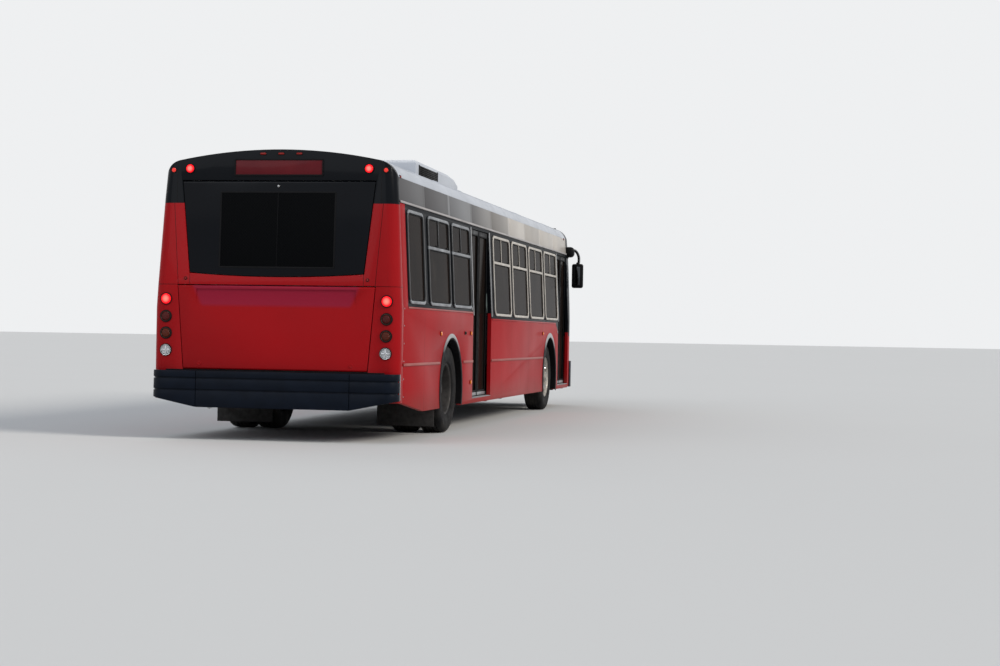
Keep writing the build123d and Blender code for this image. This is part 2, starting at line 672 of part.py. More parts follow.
SCREEN_T = 10.0
SCREEN_SET = 8.0            # glass set back from the face of the mask
with BuildPart() as windscreen:
    add(front_body(SCREEN_SET, FRONT_LOW_Z, FRONT_CAP))
    add(front_body(SCREEN_SET + SCREEN_T, FRONT_LOW_Z - 100, FRONT_CAP + 100), mode=Mode.SUBTRACT)
    with BuildSketch(across(FRONT_CAP_Y - 60)):
        add(screen_sketch(-FIT))
    extrude(amount=2 * FRONT_CAP, mode=Mode.INTERSECT)
windscreen.part.label = "windscreen"
export_step(windscreen.part, "parts/windscreen.step")

# Destination signs: a dark glass at the front and one on the rear header
REAR_SIGN_HALF = 457.0
REAR_SIGN_LOW_Z = ROOF_Z - 260
REAR_SIGN_HIGH_Z = ROOF_Z - 110
REAR_SIGN_T = 6.0
with BuildPart() as front_sign:
    add(front_body(SCREEN_SET, FRONT_LOW_Z, FRONT_CAP))
    add(front_body(SCREEN_SET + SCREEN_T, FRONT_LOW_Z - 100, FRONT_CAP + 100), mode=Mode.SUBTRACT)
    with BuildSketch(across(FRONT_CAP_Y - 60)):
        add(sign_sketch(SIGN_HALF, SIGN_LOW_Z, SIGN_HIGH_Z, -FIT))
    extrude(amount=2 * FRONT_CAP, mode=Mode.INTERSECT)
with BuildPart() as signs:
    add(front_sign.part)
    with BuildSketch(upper_plane):
        add(sign_sketch(REAR_SIGN_HALF, up_rear(REAR_SIGN_LOW_Z), up_rear(REAR_SIGN_HIGH_Z), 0))
    extrude(amount=REAR_SIGN_T)
signs.part.label = "signs"
export_step(signs.part, "parts/signs.step")

# Front bumper
FRONT_BUMPER_LOW_Z = 300.0
FRONT_BUMPER_TOP_Z = 720.0
FRONT_BUMPER_SIDE = 15.0    # beyond the side panels
with BuildPart() as front_bumper:
    with BuildSketch(Plane.XY.offset(FRONT_BUMPER_LOW_Z)):
        add(front_plan(-FRONT_PROUD, FRONT_BOW + FRONT_CORNER + FRONT_PROUD))
        add(front_plan(-FIT, FRONT_CAP), mode=Mode.SUBTRACT)
        with Locations((0, FRONT_Y)):
            Rectangle(WIDTH + 2 * FRONT_BUMPER_SIDE, 2 * FRONT_CAP, mode=Mode.INTERSECT)
    extrude(amount=FRONT_BUMPER_TOP_Z - FRONT_BUMPER_LOW_Z)
front_bumper.part.label = "front_bumper"
export_step(front_bumper.part, "parts/front_bumper.step")

# Door leaves: a border with a round hinge edge, glazed over its whole height
LEAF_LOW_Z = FLOOR_Z + SEAM
LEAF_HIGH_Z = DOOR_HEAD_Z - SEAM
for door, (aft, fore) in DOORS.items():
    centre = (aft + fore) / 2
    for leaf_name, hinge_y, free_y in (
        ("aft", aft - SEAM, centre + SEAM / 2),
        ("fore", fore + SEAM, centre - SEAM / 2),
    ):
        inward = math.copysign(1, free_y - hinge_y)
        pivot_y = hinge_y + inward * LEAF_T / 2
        wide = abs(free_y - hinge_y)
        pane = Plane.YZ.offset(-DOOR_X)
        window = (wide - 2 * LEAF_BORDER, LEAF_HIGH_Z - LEAF_LOW_Z - 2 * LEAF_BORDER)
        pane_middle = ((hinge_y + free_y) / 2, (LEAF_LOW_Z + LEAF_HIGH_Z) / 2)
        with BuildPart() as leaf:
            with BuildSketch(pane):
                with Locations(pane_middle):
                    Rectangle(wide, LEAF_HIGH_Z - LEAF_LOW_Z)
                with Locations((pivot_y, (FLOOR_Z + DOOR_HEAD_Z) / 2)):
                    Rectangle(LEAF_T, DOOR_HEAD_Z - FLOOR_Z - 2 * FIT)
                with Locations(pane_middle):
                    Rectangle(*window, mode=Mode.SUBTRACT)
            extrude(amount=LEAF_T)
            hinge_edges = leaf.edges().filter_by(Axis.Z)
            hinge_edges = hinge_edges.filter_by(lambda e: abs(e.center().Y - hinge_y) < 1)
            fillet(hinge_edges, LEAF_T / 2 - 0.2)
        leaf.part.label = f"{door}_{leaf_name}"
        export_step(leaf.part, f"parts/{door}_{leaf_name}.step")
        with BuildPart() as leaf_glass:
            with BuildSketch(pane.offset((LEAF_T - GLASS_T) / 2)):
                with Locations(pane_middle):
                    Rectangle(window[0] - 2 * FIT, window[1] - 2 * FIT)
            extrude(amount=GLASS_T)
        leaf_glass.part.label = f"{door}_{leaf_name}_glass"
        export_step(leaf_glass.part, f"parts/{door}_{leaf_name}_glass.step")

# Floor with its steps and engine housing, then the wheelhouses in it and the bulkhead at its end
STEP_Y = DOORS["rear_door"][0] + 110
RISE_Y = STEP_Y + 300
HOUSING_Y = REAR_Y - 1370
BULKHEAD_Y = REAR_CAP_Y - 130
FLOOR_FRONT_Y = FRONT_Y + FRONT_BOW + FRONT_CORNER + 5
floor_top = [
    (FLOOR_FRONT_Y, FLOOR_Z),
    (STEP_Y, FLOOR_Z),
    (STEP_Y, STEP_Z),
    (RISE_Y, STEP_Z),
    (RISE_Y, PLATFORM_Z),
    (HOUSING_Y, PLATFORM_Z),
    (HOUSING_Y, DECK_Z),
    (BULKHEAD_Y, DECK_Z),
]
floor_under = [
    (BULKHEAD_Y, DECK_Z - FLOOR_T),
    (HOUSING_Y + FLOOR_T, DECK_Z - FLOOR_T),
    (HOUSING_Y + FLOOR_T, PLATFORM_Z - FLOOR_T),
    (RISE_Y + FLOOR_T, PLATFORM_Z - FLOOR_T),
    (RISE_Y + FLOOR_T, STEP_Z - FLOOR_T),
    (STEP_Y + FLOOR_T, STEP_Z - FLOOR_T),
    (STEP_Y + FLOOR_T, FLOOR_Z - FLOOR_T),
    (FLOOR_FRONT_Y, FLOOR_Z - FLOOR_T),
]
# Wheelhouses: (axle y, half length, inner x, ceiling z, foot z)
HOUSES = (
    (FRONT_AXLE_Y, HOUSE_FRONT_HALF, HOUSE_FRONT_X, HOUSE_FRONT_Z, FLOOR_Z - FLOOR_T),
    (REAR_AXLE_Y, HOUSE_REAR_HALF, HOUSE_REAR_X, HOUSE_REAR_Z, PLATFORM_Z - FLOOR_T),
)
with BuildPart() as floor:
    with BuildSketch(Plane.YZ.offset(-CABIN_HALF)):
        with BuildLine():
            Polyline(*floor_top, *floor_under, close=True)
        make_face()
    extrude(amount=2 * CABIN_HALF)
    for axle_y, half_long, inner_x, top_z, foot_z in HOUSES:
        with BuildSketch(Plane.XY.offset(foot_z)):
            for side in (-1, 1):
                wide = CABIN_HALF - inner_x + HOUSE_T + FIT
                with Locations((side * (CABIN_HALF - wide / 2), axle_y)):
                    Rectangle(wide, 2 * (half_long + HOUSE_T + FIT))
        extrude(amount=FLOOR_T, mode=Mode.SUBTRACT)
floor.part.label = "floor"
export_step(floor.part, "parts/floor.step")

with BuildPart() as wheelhouses:
    for axle_y, half_long, inner_x, top_z, foot_z in HOUSES:
        for grow, mode in ((HOUSE_T, Mode.ADD), (0, Mode.SUBTRACT)):
            with BuildSketch(Plane.XY.offset(foot_z)):
                for side in (-1, 1):
                    wide = CABIN_HALF - inner_x + grow
                    with Locations((side * (CABIN_HALF - wide / 2), axle_y)):
                        Rectangle(wide, 2 * (half_long + grow))
            extrude(amount=top_z + grow - foot_z, mode=mode)
wheelhouses.part.label = "wheelhouses"
export_step(wheelhouses.part, "parts/wheelhouses.step")

with BuildPart() as bulkhead:
    with BuildSketch(across(BULKHEAD_Y + FLOOR_T)):
        add(body_face(WALL + FIT, DECK_Z - FLOOR_T))
    extrude(amount=FLOOR_T)
bulkhead.part.label = "bulkhead"
export_step(bulkhead.part, "parts/bulkhead.step")

# Underframe: stepped rails along the whole bus, cross members fitted between them and mud flaps
RAIL_X = 420.0
RAIL_W = 80.0
LOW_RAIL_Z = 236.0
REAR_RAIL_Z = 640.0
KICK_SETBACK = 220.0        # underside of the rails' kick-up behind the two steps
AXLE_GAP = 160.0            # rails stop this far from the front axle
CROSS_W = 90.0
CROSS_H = 42.0
FLAP_T = 12.0
FLAP_LOW_Z = 95.0
RAIL_IN = RAIL_X - RAIL_W / 2 - FIT     # ends of the cross members at both faces of a rail
RAIL_OUT = RAIL_X + RAIL_W / 2 + FIT
low_top, high_top = FLOOR_Z - FLOOR_T, PLATFORM_Z - FLOOR_T
with BuildPart() as underframe:
    for side in (-1, 1):
        with BuildSketch(Plane.YZ.offset(side * RAIL_X - RAIL_W / 2)):
            with BuildLine():
                Polyline(
                    (FRONT_AXLE_Y + AXLE_GAP, low_top),
                    (STEP_Y + FLOOR_T, low_top),
                    (RISE_Y + FLOOR_T, STEP_Z - FLOOR_T),
                    (RISE_Y + FLOOR_T, high_top),
                    (REAR_Y - WALL, high_top),
                    (REAR_Y - WALL, REAR_RAIL_Z),
                    (RISE_Y + KICK_SETBACK, REAR_RAIL_Z),
                    (STEP_Y + KICK_SETBACK, LOW_RAIL_Z),
                    (FRONT_AXLE_Y + AXLE_GAP, LOW_RAIL_Z),
                    close=True,
                )
            make_face()
            with Locations(((FRONT_CAP_Y + FRONT_AXLE_Y - AXLE_GAP) / 2, (low_top + LOW_RAIL_Z) / 2)):
                Rectangle(FRONT_AXLE_Y - AXLE_GAP - FRONT_CAP_Y, low_top - LOW_RAIL_Z)
        extrude(amount=RAIL_W)
    with BuildSketch(Plane.XY.offset(low_top)):
        for y in (FRONT_CAP_Y + 200, FRONT_AXLE_Y - 700, FRONT_AXLE_Y + 700, 0, DOORS["rear_door"][1]):
            with Locations((0, y)):
                Rectangle(2 * RAIL_IN, CROSS_W)
            for side in (-1, 1):
                with Locations((side * (RAIL_OUT + CABIN_HALF) / 2, y)):
                    Rectangle(CABIN_HALF - RAIL_OUT, CROSS_W)
    extrude(amount=-CROSS_H)
    with BuildSketch(Plane.XY.offset(high_top)):
        for y in (REAR_AXLE_Y - 450, REAR_AXLE_Y + 450):
            with Locations((0, y)):
                Rectangle(2 * RAIL_IN, CROSS_W)
    extrude(amount=REAR_RAIL_Z - high_top)
    for side in (-1, 1):
        with BuildSketch(Plane.XY.offset(FLAP_LOW_Z)):
            wide = CABIN_HALF - HOUSE_REAR_X
            with Locations(
                (
                    side * (CABIN_HALF - wide / 2),
                    REAR_AXLE_Y + HOUSE_REAR_HALF + HOUSE_T + FLAP_T / 2,
                )
            ):
                Rectangle(wide, FLAP_T)
        extrude(amount=high_top - FLAP_LOW_Z)
underframe.part.label = "underframe"
export_step(underframe.part, "parts/underframe.step")

# The engine stands for its whole mass as one plain block between the rear rails
ENGINE_LOW_Z = 380.0
ENGINE_HIGH_Z = 1190.0
ENGINE_LONG = 1080.0
ENGINE_REAR_GAP = 110.0
with BuildPart() as engine:
    with BuildSketch(Plane.XY.offset(ENGINE_LOW_Z)):
        with Locations((0, REAR_Y - WALL - ENGINE_REAR_GAP - ENGINE_LONG / 2)):
            Rectangle(2 * (RAIL_X - RAIL_W / 2 - FIT), ENGINE_LONG)
    extrude(amount=ENGINE_HIGH_Z - ENGINE_LOW_Z)
engine.part.label = "engine"
export_step(engine.part, "parts/engine.step")

# Front axle: a dropped beam with its kingpins, carried on air springs under the floor
BOSS_HALF = 60.0
BOSS_R = 45.0
BEAM_W = 90.0
BEAM_LOW_Z = 165.0
BEAM_HIGH_Z = 262.0
EAR_T = 34.0
EAR_GAP = 2.0
SPRING_HALF = 80.0
with BuildPart() as front_axle:
    with BuildSketch(Plane.XZ.offset(-FRONT_AXLE_Y - BEAM_W / 2)):
        for side in (-1, 1):
            with BuildLine():
                Polyline(
                    (0, BEAM_LOW_Z),
                    (side * HOUSE_FRONT_X, BEAM_LOW_Z),
                    (side * (HOUSE_FRONT_X + 190), TYRE_R - BOSS_HALF),
                    (side * KINGPIN_X, TYRE_R - BOSS_HALF),
                    (side * KINGPIN_X, TYRE_R + BOSS_HALF),
                    (side * (HOUSE_FRONT_X + 140), TYRE_R + BOSS_HALF),
                    (side * (HOUSE_FRONT_X - 20), BEAM_HIGH_Z),
                    (0, BEAM_HIGH_Z),
                    close=True,
                )
            make_face()
    extrude(amount=BEAM_W)
    for side in (-1, 1):
        with BuildSketch(Plane((side * KINGPIN_X, FRONT_AXLE_Y, TYRE_R - BOSS_HALF))):
            Circle(BOSS_R)
        extrude(amount=2 * BOSS_HALF)
        with BuildSketch(Plane((side * KINGPIN_X, FRONT_AXLE_Y, TYRE_R - BOSS_HALF - EAR_GAP - EAR_T))):
            Circle(KINGPIN_R)
        extrude(amount=2 * (BOSS_HALF + EAR_GAP + EAR_T))
        with BuildSketch(Plane((side * RAIL_X, FRONT_AXLE_Y, BEAM_LOW_Z + 20))):
            Rectangle(2 * SPRING_HALF, 2 * SPRING_HALF)
        extrude(amount=low_top - BEAM_LOW_Z - 20)
front_axle.part.label = "front_axle"
export_step(front_axle.part, "parts/front_axle.step")

# Steering knuckles: a fork around the kingpin boss and the spindle that carries the hub
WEB_X = 50.0                # web's inner face from the kingpin
WEB_T = 15.0
SPINDLE_R = 35.0
SPINDLE_END_X = FRONT_TRACK_X + 80
for side_name, side in (("right", -1), ("left", 1)):
    with BuildPart() as knuckle:
        for z in (TYRE_R - BOSS_HALF - EAR_GAP - EAR_T, TYRE_R + BOSS_HALF + EAR_GAP):
            with BuildSketch(Plane.XY.offset(z)):
                with Locations((side * (KINGPIN_X + (WEB_X + WEB_T - BOSS_R) / 2), FRONT_AXLE_Y)):
                    Rectangle(WEB_X + WEB_T + BOSS_R, 2 * BOSS_R)
                with Locations((side * KINGPIN_X, FRONT_AXLE_Y)):
                    Circle(KINGPIN_R + RUN_FIT, mode=Mode.SUBTRACT)
            extrude(amount=EAR_T)
        with BuildSketch(Plane.YZ.offset(side * (KINGPIN_X + WEB_X + WEB_T / 2) - WEB_T / 2)):
            with Locations((FRONT_AXLE_Y, TYRE_R)):
                Rectangle(2 * BOSS_R, 2 * (BOSS_HALF + EAR_GAP + EAR_T))
        extrude(amount=WEB_T)
        with BuildSketch(Plane.YZ.offset(side * (KINGPIN_X + WEB_X))):
            with Locations((FRONT_AXLE_Y, TYRE_R)):
                Circle(SPINDLE_R)
        extrude(amount=side * (SPINDLE_END_X - KINGPIN_X - WEB_X))
    knuckle.part.label = f"{side_name}_knuckle"
    export_step(knuckle.part, f"parts/{side_name}_knuckle.step")

# Rear axle: a tube with its final drive, carried on air springs under the rails
TUBE_R = 70.0
TUBE_END_X = REAR_OUTER_X - 140
DRIVE_HALF = 150.0
with BuildPart() as rear_axle:
    with BuildSketch(Plane.YZ.offset(-TUBE_END_X)):
        with Locations((REAR_AXLE_Y, TYRE_R)):
            Circle(TUBE_R)
    extrude(amount=2 * TUBE_END_X)
    with BuildSketch(Plane.YZ.offset(-DRIVE_HALF)):
        with Locations((REAR_AXLE_Y, TYRE_R)):
            housing = Rectangle(3 * DRIVE_HALF, 2 * DRIVE_HALF)
            chamfer(housing.vertices(), DRIVE_HALF / 2)
    extrude(amount=2 * DRIVE_HALF)
    for side in (-1, 1):
        with BuildSketch(Plane((side * RAIL_X, REAR_AXLE_Y, TYRE_R))):
            Rectangle(2 * SPRING_HALF, 2 * SPRING_HALF)
        extrude(amount=REAR_RAIL_Z - TYRE_R)
rear_axle.part.label = "rear_axle"
export_step(rear_axle.part, "parts/rear_axle.step")

# Wheels and tyres. Every profile is (distance outwards along X, radius).
RIM_HALF = 115.0
LIP = 20.0
HUB_R = 105.0
front_rim = [
    (KINGPIN_X + WEB_X + WEB_T + 6, SPINDLE_R + RUN_FIT),
    (SPINDLE_END_X + 5, SPINDLE_R + RUN_FIT),
    (SPINDLE_END_X + 5, 0),
    (FRONT_TRACK_X + RIM_HALF + 28, 0),
    (FRONT_TRACK_X + RIM_HALF + 28, HUB_R),
    (FRONT_TRACK_X + RIM_HALF - LIP, HUB_R),
    (FRONT_TRACK_X + RIM_HALF - LIP, RIM_R),
    (KINGPIN_X + WEB_X + WEB_T + 6, RIM_R),
]
rear_rim = [
    (REAR_INNER_X - RIM_HALF, TUBE_R + RUN_FIT),
    (TUBE_END_X + 5, TUBE_R + RUN_FIT),
    (TUBE_END_X + 5, 0),
    (REAR_OUTER_X + RIM_HALF - 50, 0),
    (REAR_OUTER_X + RIM_HALF - 50, HUB_R),
    (REAR_OUTER_X - 40, HUB_R),
    (REAR_OUTER_X - 40, RIM_R - LIP),
    (REAR_OUTER_X + RIM_HALF, RIM_R - LIP),
    (REAR_OUTER_X + RIM_HALF, RIM_R),
    (REAR_INNER_X - RIM_HALF, RIM_R),
]


def tyre_profile(middle_x):
    """Section of a tyre whose middle plane is at middle_x."""
    low_x, high_x = middle_x - TYRE_W / 2, middle_x + TYRE_W / 2
    bead = RIM_R + FIT
    return [(low_x, bead), (low_x, TYRE_R), (high_x, TYRE_R), (high_x, bead)]


def revolved(profiles, side, axle_y):
    """Solids of revolution about a wheel's axis, one for each profile."""
    with BuildPart() as turned:
        for profile in profiles:
            with BuildSketch(Plane.XY.offset(TYRE_R)):
                with BuildLine():
                    Polyline(*[(side * x, axle_y + r) for x, r in profile], close=True)
                make_face()
            revolve(axis=Axis((0, axle_y, TYRE_R), (1, 0, 0)))
    return turned.part


for side_name, side in (("right", -1), ("left", 1)):
    for end, axle_y, rim, tyres in (
        ("front", FRONT_AXLE_Y, front_rim, [tyre_profile(FRONT_TRACK_X)]),
        (
            "rear",
            REAR_AXLE_Y,
            rear_rim,
            [tyre_profile(REAR_OUTER_X), tyre_profile(REAR_INNER_X)],
        ),
    ):
        with BuildPart() as wheel:
            add(revolved([rim], side, axle_y))
        wheel.part.label = f"{end}_{side_name}_rim"
        export_step(wheel.part, f"parts/{end}_{side_name}_rim.step")
        with BuildPart() as rubber:
            add(revolved(tyres, side, axle_y))
        rubber.part.label = f"{end}_{side_name}_tyre"
        export_step(rubber.part, f"parts/{end}_{side_name}_tyre.step")

# Seats: benches for two on pedestals, and the driver's seat
SEAT_DEEP = 450.0
AISLE_HALF = 430.0
SEAT_UP = 430.0             # cushion top over its floor
BACK_UP = 1010.0
SHELL_T = 60.0
SEAT_DIP = 15.0             # fall of the cushion to its backrest
BACK_LEAN = 60.0
FOOT_IN = 100.0             # pedestal's foot and neck, in from both ends of the seat
NECK_IN = 140.0
SEAT_GAP = 15.0
SEAT_PITCH = 740.0


def bench(middle_x, back_y, base_z, wide):
    """A seat facing forwards: cushion, backrest at back_y and a pedestal that stands on base_z."""
    seat_z = base_z + SEAT_UP
    fall = SEAT_DIP / (SEAT_DEEP - SHELL_T - BACK_LEAN)
    neck_z = seat_z - SHELL_T - FIT
    with BuildPart() as seat:
        with BuildSketch(Plane.YZ.offset(middle_x - wide / 2)):
            with BuildLine():
                Polyline(
                    (back_y - SEAT_DEEP, seat_z - SHELL_T),
                    (back_y - SEAT_DEEP, seat_z),
                    (back_y - SHELL_T - BACK_LEAN - FIT, seat_z - SEAT_DIP),
                    (back_y - SHELL_T - BACK_LEAN - FIT, seat_z - SHELL_T - SEAT_DIP),
                    close=True,
                )
            make_face()
            with BuildLine():
                Polyline(
                    (back_y - SHELL_T - BACK_LEAN, seat_z - SHELL_T - SEAT_DIP),
                    (back_y - SHELL_T - BACK_LEAN, seat_z - SEAT_DIP),
                    (back_y - SHELL_T, base_z + BACK_UP),
                    (back_y, base_z + BACK_UP),
                    (back_y - BACK_LEAN + SHELL_T / 3, seat_z - SHELL_T - SEAT_DIP),
                    close=True,
                )
            make_face()
        extrude(amount=wide)
        with BuildSketch(Plane.YZ.offset(middle_x - wide / 8)):
            with BuildLine():
                Polyline(
                    (back_y - SEAT_DEEP + FOOT_IN, base_z),
                    (back_y - FOOT_IN, base_z),
                    (back_y - NECK_IN, neck_z - fall * (SEAT_DEEP - NECK_IN)),
                    (back_y - SEAT_DEEP + NECK_IN, neck_z - fall * NECK_IN),
                    close=True,
                )
            make_face()
        extrude(amount=wide / 4)
    return seat.part


front_house_aft = FRONT_AXLE_Y + HOUSE_FRONT_HALF + HOUSE_T
low_rows = int((DOORS["rear_door"][1] - 120 - front_house_aft - SEAT_GAP) // SEAT_PITCH)
seat_wide = CABIN_HALF - SEAT_GAP - AISLE_HALF
seat_x = AISLE_HALF + seat_wide / 2
with BuildPart() as passenger_seats:
    for side in (-1, 1):
        extra = 1 if side > 0 else 0
        for row in range(low_rows + 2 * extra):
            back_y = front_house_aft + SEAT_GAP + SEAT_DEEP + 40 + row * SEAT_PITCH
            if back_y < STEP_Y - SEAT_GAP:
                add(bench(side * seat_x, back_y, FLOOR_Z, seat_wide))
        aft_y = REAR_AXLE_Y + HOUSE_REAR_HALF + HOUSE_T
        add(bench(side * seat_x, aft_y + SEAT_GAP + SEAT_DEEP, PLATFORM_Z, seat_wide))
passenger_seats.part.label = "passenger_seats"
export_step(passenger_seats.part, "parts/passenger_seats.step")

# Driver's seat and the dashboard with its steering column and wheel
DRIVER_IN = 655.0           # middle of the driver's seat, in from the side panels
DRIVER_X = HALF - DRIVER_IN
DRIVER_BACK_Y = FRONT_AXLE_Y - HOUSE_FRONT_HALF - HOUSE_T - 60
DRIVER_BASE_Z = 560.0
PODIUM_X = 300.0
PODIUM_LONG = 950.0
DASH_TOP_Z = 1120.0
DASH_LOW_Z = 760.0
DASH_REACH = 100.0          # past the middle of the bus, towards the door
WHEEL_RING_R = 230.0
with BuildPart() as driver_seat:
    with BuildSketch(Plane.XY.offset(FLOOR_Z)):
        with Locations(((PODIUM_X + CABIN_HALF) / 2, DRIVER_BACK_Y + 50 - PODIUM_LONG / 2)):
            Rectangle(CABIN_HALF - PODIUM_X, PODIUM_LONG)
    extrude(amount=DRIVER_BASE_Z - FLOOR_Z)
    add(bench(DRIVER_X, DRIVER_BACK_Y, DRIVER_BASE_Z, 480))
driver_seat.part.label = "driver_seat"
export_step(driver_seat.part, "parts/driver_seat.step")

dash_back_y = FRONT_CAP_Y - 40
column = Plane(
    origin=(DRIVER_X, dash_back_y - 60, DASH_TOP_Z - 70),
    x_dir=(1, 0, 0),
    z_dir=(0, math.sin(math.radians(38)), math.cos(math.radians(38))),
)
with BuildPart() as dashboard:
    with BuildSketch(Plane.YZ.offset(-DASH_REACH)):
        with BuildLine():
            Polyline(
                (dash_back_y, DASH_LOW_Z),
                (dash_back_y + 60, DASH_TOP_Z - 60),
                (dash_back_y - 40, DASH_TOP_Z),
                (FRONT_Y, DASH_TOP_Z),
                (FRONT_Y, DASH_LOW_Z),
                (FLOOR_FRONT_Y, FLOOR_Z),
                (FLOOR_FRONT_Y + 50, FLOOR_Z),
                close=True,
            )
        make_face()
    extrude(amount=DASH_REACH + HALF)
    add(front_body(WALL + FIT, FRONT_LOW_Z, FRONT_CAP + 100), mode=Mode.INTERSECT)
    with BuildSketch(column):
        Rectangle(56, 56)
    extrude(amount=200)
    with BuildSketch(column.offset(185)):
        Circle(WHEEL_RING_R)
        Circle(WHEEL_RING_R - 30, mode=Mode.SUBTRACT)
        Rectangle(2 * WHEEL_RING_R - 30, 60)
    extrude(amount=28)
dashboard.part.label = "dashboard"
export_step(dashboard.part, "parts/dashboard.step")

# Handrails: posts from the floor to two rails that run under the ceiling
POST_R = 17.0
GRAB_X = AISLE_HALF - 35
GRAB_Z = 1950.0
with BuildPart() as handrails:
    for side in (-1, 1):
        for y, base_z in (
            (DOORS["rear_door"][1] - 100, FLOOR_Z),
            (HOUSING_Y - 150, PLATFORM_Z),
        ):
            x = side * GRAB_X
            ceiling_z = ROOF_Z - ROOF_WALL - 30
            with BuildSketch(Plane((x, y, base_z))):
                Circle(POST_R)
            extrude(amount=ceiling_z - base_z)
        with BuildSketch(across(HOUSING_Y - 100)):
            with Locations((side * (GRAB_X - 2 * POST_R - FIT), GRAB_Z)):
                Circle(POST_R)
        extrude(amount=HOUSING_Y - 100 - FRONT_AXLE_Y + 550)
handrails.part.label = "handrails"
export_step(handrails.part, "parts/handrails.step")

# Lamps. Rows are (x, z, radius) on the rear panel.
LAMP_R = 63.0
LAMP_T = 24.0
LAMP_IN = 135.0             # middles of the corner lamps, in from the side panels
HIGH_LAMP_R = 50.0
HIGH_LAMP_IN = 352.0
HIGH_LAMP_DROP = 197.0      # below the crown of the roof
red_lamps_table = [
    (HALF - LAMP_IN, 1429, LAMP_R),
    (HALF - HIGH_LAMP_IN, ROOF_Z - HIGH_LAMP_DROP, HIGH_LAMP_R),
]
dark_lamps_table = [(HALF - LAMP_IN, 1250, LAMP_R), (HALF - LAMP_IN - 3, 1080, LAMP_R)]
clear_lamps_table = [(HALF - LAMP_IN - 5, 906, LAMP_R)]
HEADLAMP_X = 900.0
HEADLAMP_Z = 900.0
HEADLAMP_W = 400.0
HEADLAMP_H = 190.0


def rear_lamps(table):
    """Round lamps on both rear corners, each standing on the face behind it."""
    with BuildPart() as lamps:
        for x, z, radius in table:
            leaning = z > REAR_LEAN_Z
            plane = upper_plane if leaning else lower_plane
            height = up_rear(z) if leaning else z
            with BuildSketch(plane):
                with Locations((-x, height), (x, height)):
                    Circle(radius)
            extrude(amount=LAMP_T)
            with BuildSketch(plane):
                with Locations((-x, height), (x, height)):
                    Circle(radius)
            extrude(amount=-LAMP_T)
        add(rear_body(0, CORNER_R), mode=Mode.SUBTRACT)
    return lamps.part


for name, table in (
    ("red_lamps", red_lamps_table),
    ("dark_lamps", dark_lamps_table),
    ("clear_lamps", clear_lamps_table),
):
    with BuildPart() as lamps:
        add(rear_lamps(table))
    lamps.part.label = name
    export_step(lamps.part, f"parts/{name}.step")

with BuildPart() as headlamps:
    with BuildSketch(across(FRONT_Y + FRONT_BOW + 100)):
        with Locations((HEADLAMP_X, HEADLAMP_Z), (-HEADLAMP_X, HEADLAMP_Z)):
            Rectangle(HEADLAMP_W, HEADLAMP_H)
    extrude(amount=FRONT_BOW + 100 + 20)
    add(front_body(-FIT, FRONT_LOW_Z, FRONT_CAP + 100), mode=Mode.SUBTRACT)
headlamps.part.label = "headlamps"
export_step(headlamps.part, "parts/headlamps.step")

# Amber side markers: (distance ahead of the rear panel, z)
MARKER_R = 26.0
MARKER_T = 16.0
MARKERS = ((1955, 1119), (3640, 1130), (3650, 549), (9076, 1151))
with BuildPart() as amber_markers:
    for side in (-1, 1):
        with BuildSketch(Plane.YZ.offset(side * HALF)):
            for ahead, z in MARKERS:
                with Locations((REAR_Y - ahead, z)):
                    Rectangle(2 * MARKER_R, 2 * MARKER_R)
        extrude(amount=side * MARKER_T)
amber_markers.part.label = "amber_markers"
export_step(amber_markers.part, "parts/amber_markers.step")

# Outside mirrors on arms that reach forward and outward from the upper front corners
MIRROR_OUT = 95.0           # middle of a mirror, out from the side panels
MIRROR_W = 190.0
MIRROR_T = 80.0
MIRROR_H = 399.0
MIRROR_HANG = 195.0         # top of a mirror below its arm
MIRROR_X = HALF + MIRROR_OUT
MIRROR_Y = FRONT_Y + 90
ARM_Z = ROOF_Z - 460
MIRROR_HIGH_Z = ARM_Z - MIRROR_HANG
MIRROR_LOW_Z = MIRROR_HIGH_Z - MIRROR_H
ARM_T = 36.0
ARM_ROOT_Y = FRONT_CAP_Y - 60
ARM_ROOT_W = 90.0
with BuildPart() as mirrors:
    for side in (-1, 1):
        with BuildSketch(across(MIRROR_Y + MIRROR_T / 2)):
            with Locations((side * MIRROR_X, (MIRROR_LOW_Z + MIRROR_HIGH_Z) / 2)):
                head = Rectangle(MIRROR_W, MIRROR_HIGH_Z - MIRROR_LOW_Z)
                chamfer(head.vertices(), 30)
        extrude(amount=MIRROR_T)
        root_x = half_width(ARM_Z)
        with BuildSketch(Plane.XY.offset(ARM_Z)):
            with BuildLine():
                Polyline(
                    (side * (root_x - 100), ARM_ROOT_Y + ARM_ROOT_W / 2),
                    (side * (root_x + 20), ARM_ROOT_Y + ARM_ROOT_W / 2),
                    (side * (MIRROR_X + ARM_T / 2), MIRROR_Y + ARM_T / 2),
                    (side * (MIRROR_X + ARM_T / 2), MIRROR_Y - ARM_T / 2),
                    (side * (MIRROR_X - ARM_T / 2), MIRROR_Y - ARM_T / 2),
                    (side * (root_x - 100), ARM_ROOT_Y - ARM_ROOT_W / 2),
                    close=True,
                )
            make_face()
        extrude(amount=ARM_T)
        with BuildSketch(Plane.XY.offset(MIRROR_HIGH_Z - 10)):
            with Locations((side * MIRROR_X, MIRROR_Y)):
                Rectangle(ARM_T, ARM_T)
        extrude(amount=ARM_Z - MIRROR_HIGH_Z + 10 + ARM_T)
    add(front_body(-FIT, FRONT_LOW_Z, FRONT_CAP + 100), mode=Mode.SUBTRACT)
mirrors.part.label = "mirrors"
export_step(mirrors.part, "parts/mirrors.step")

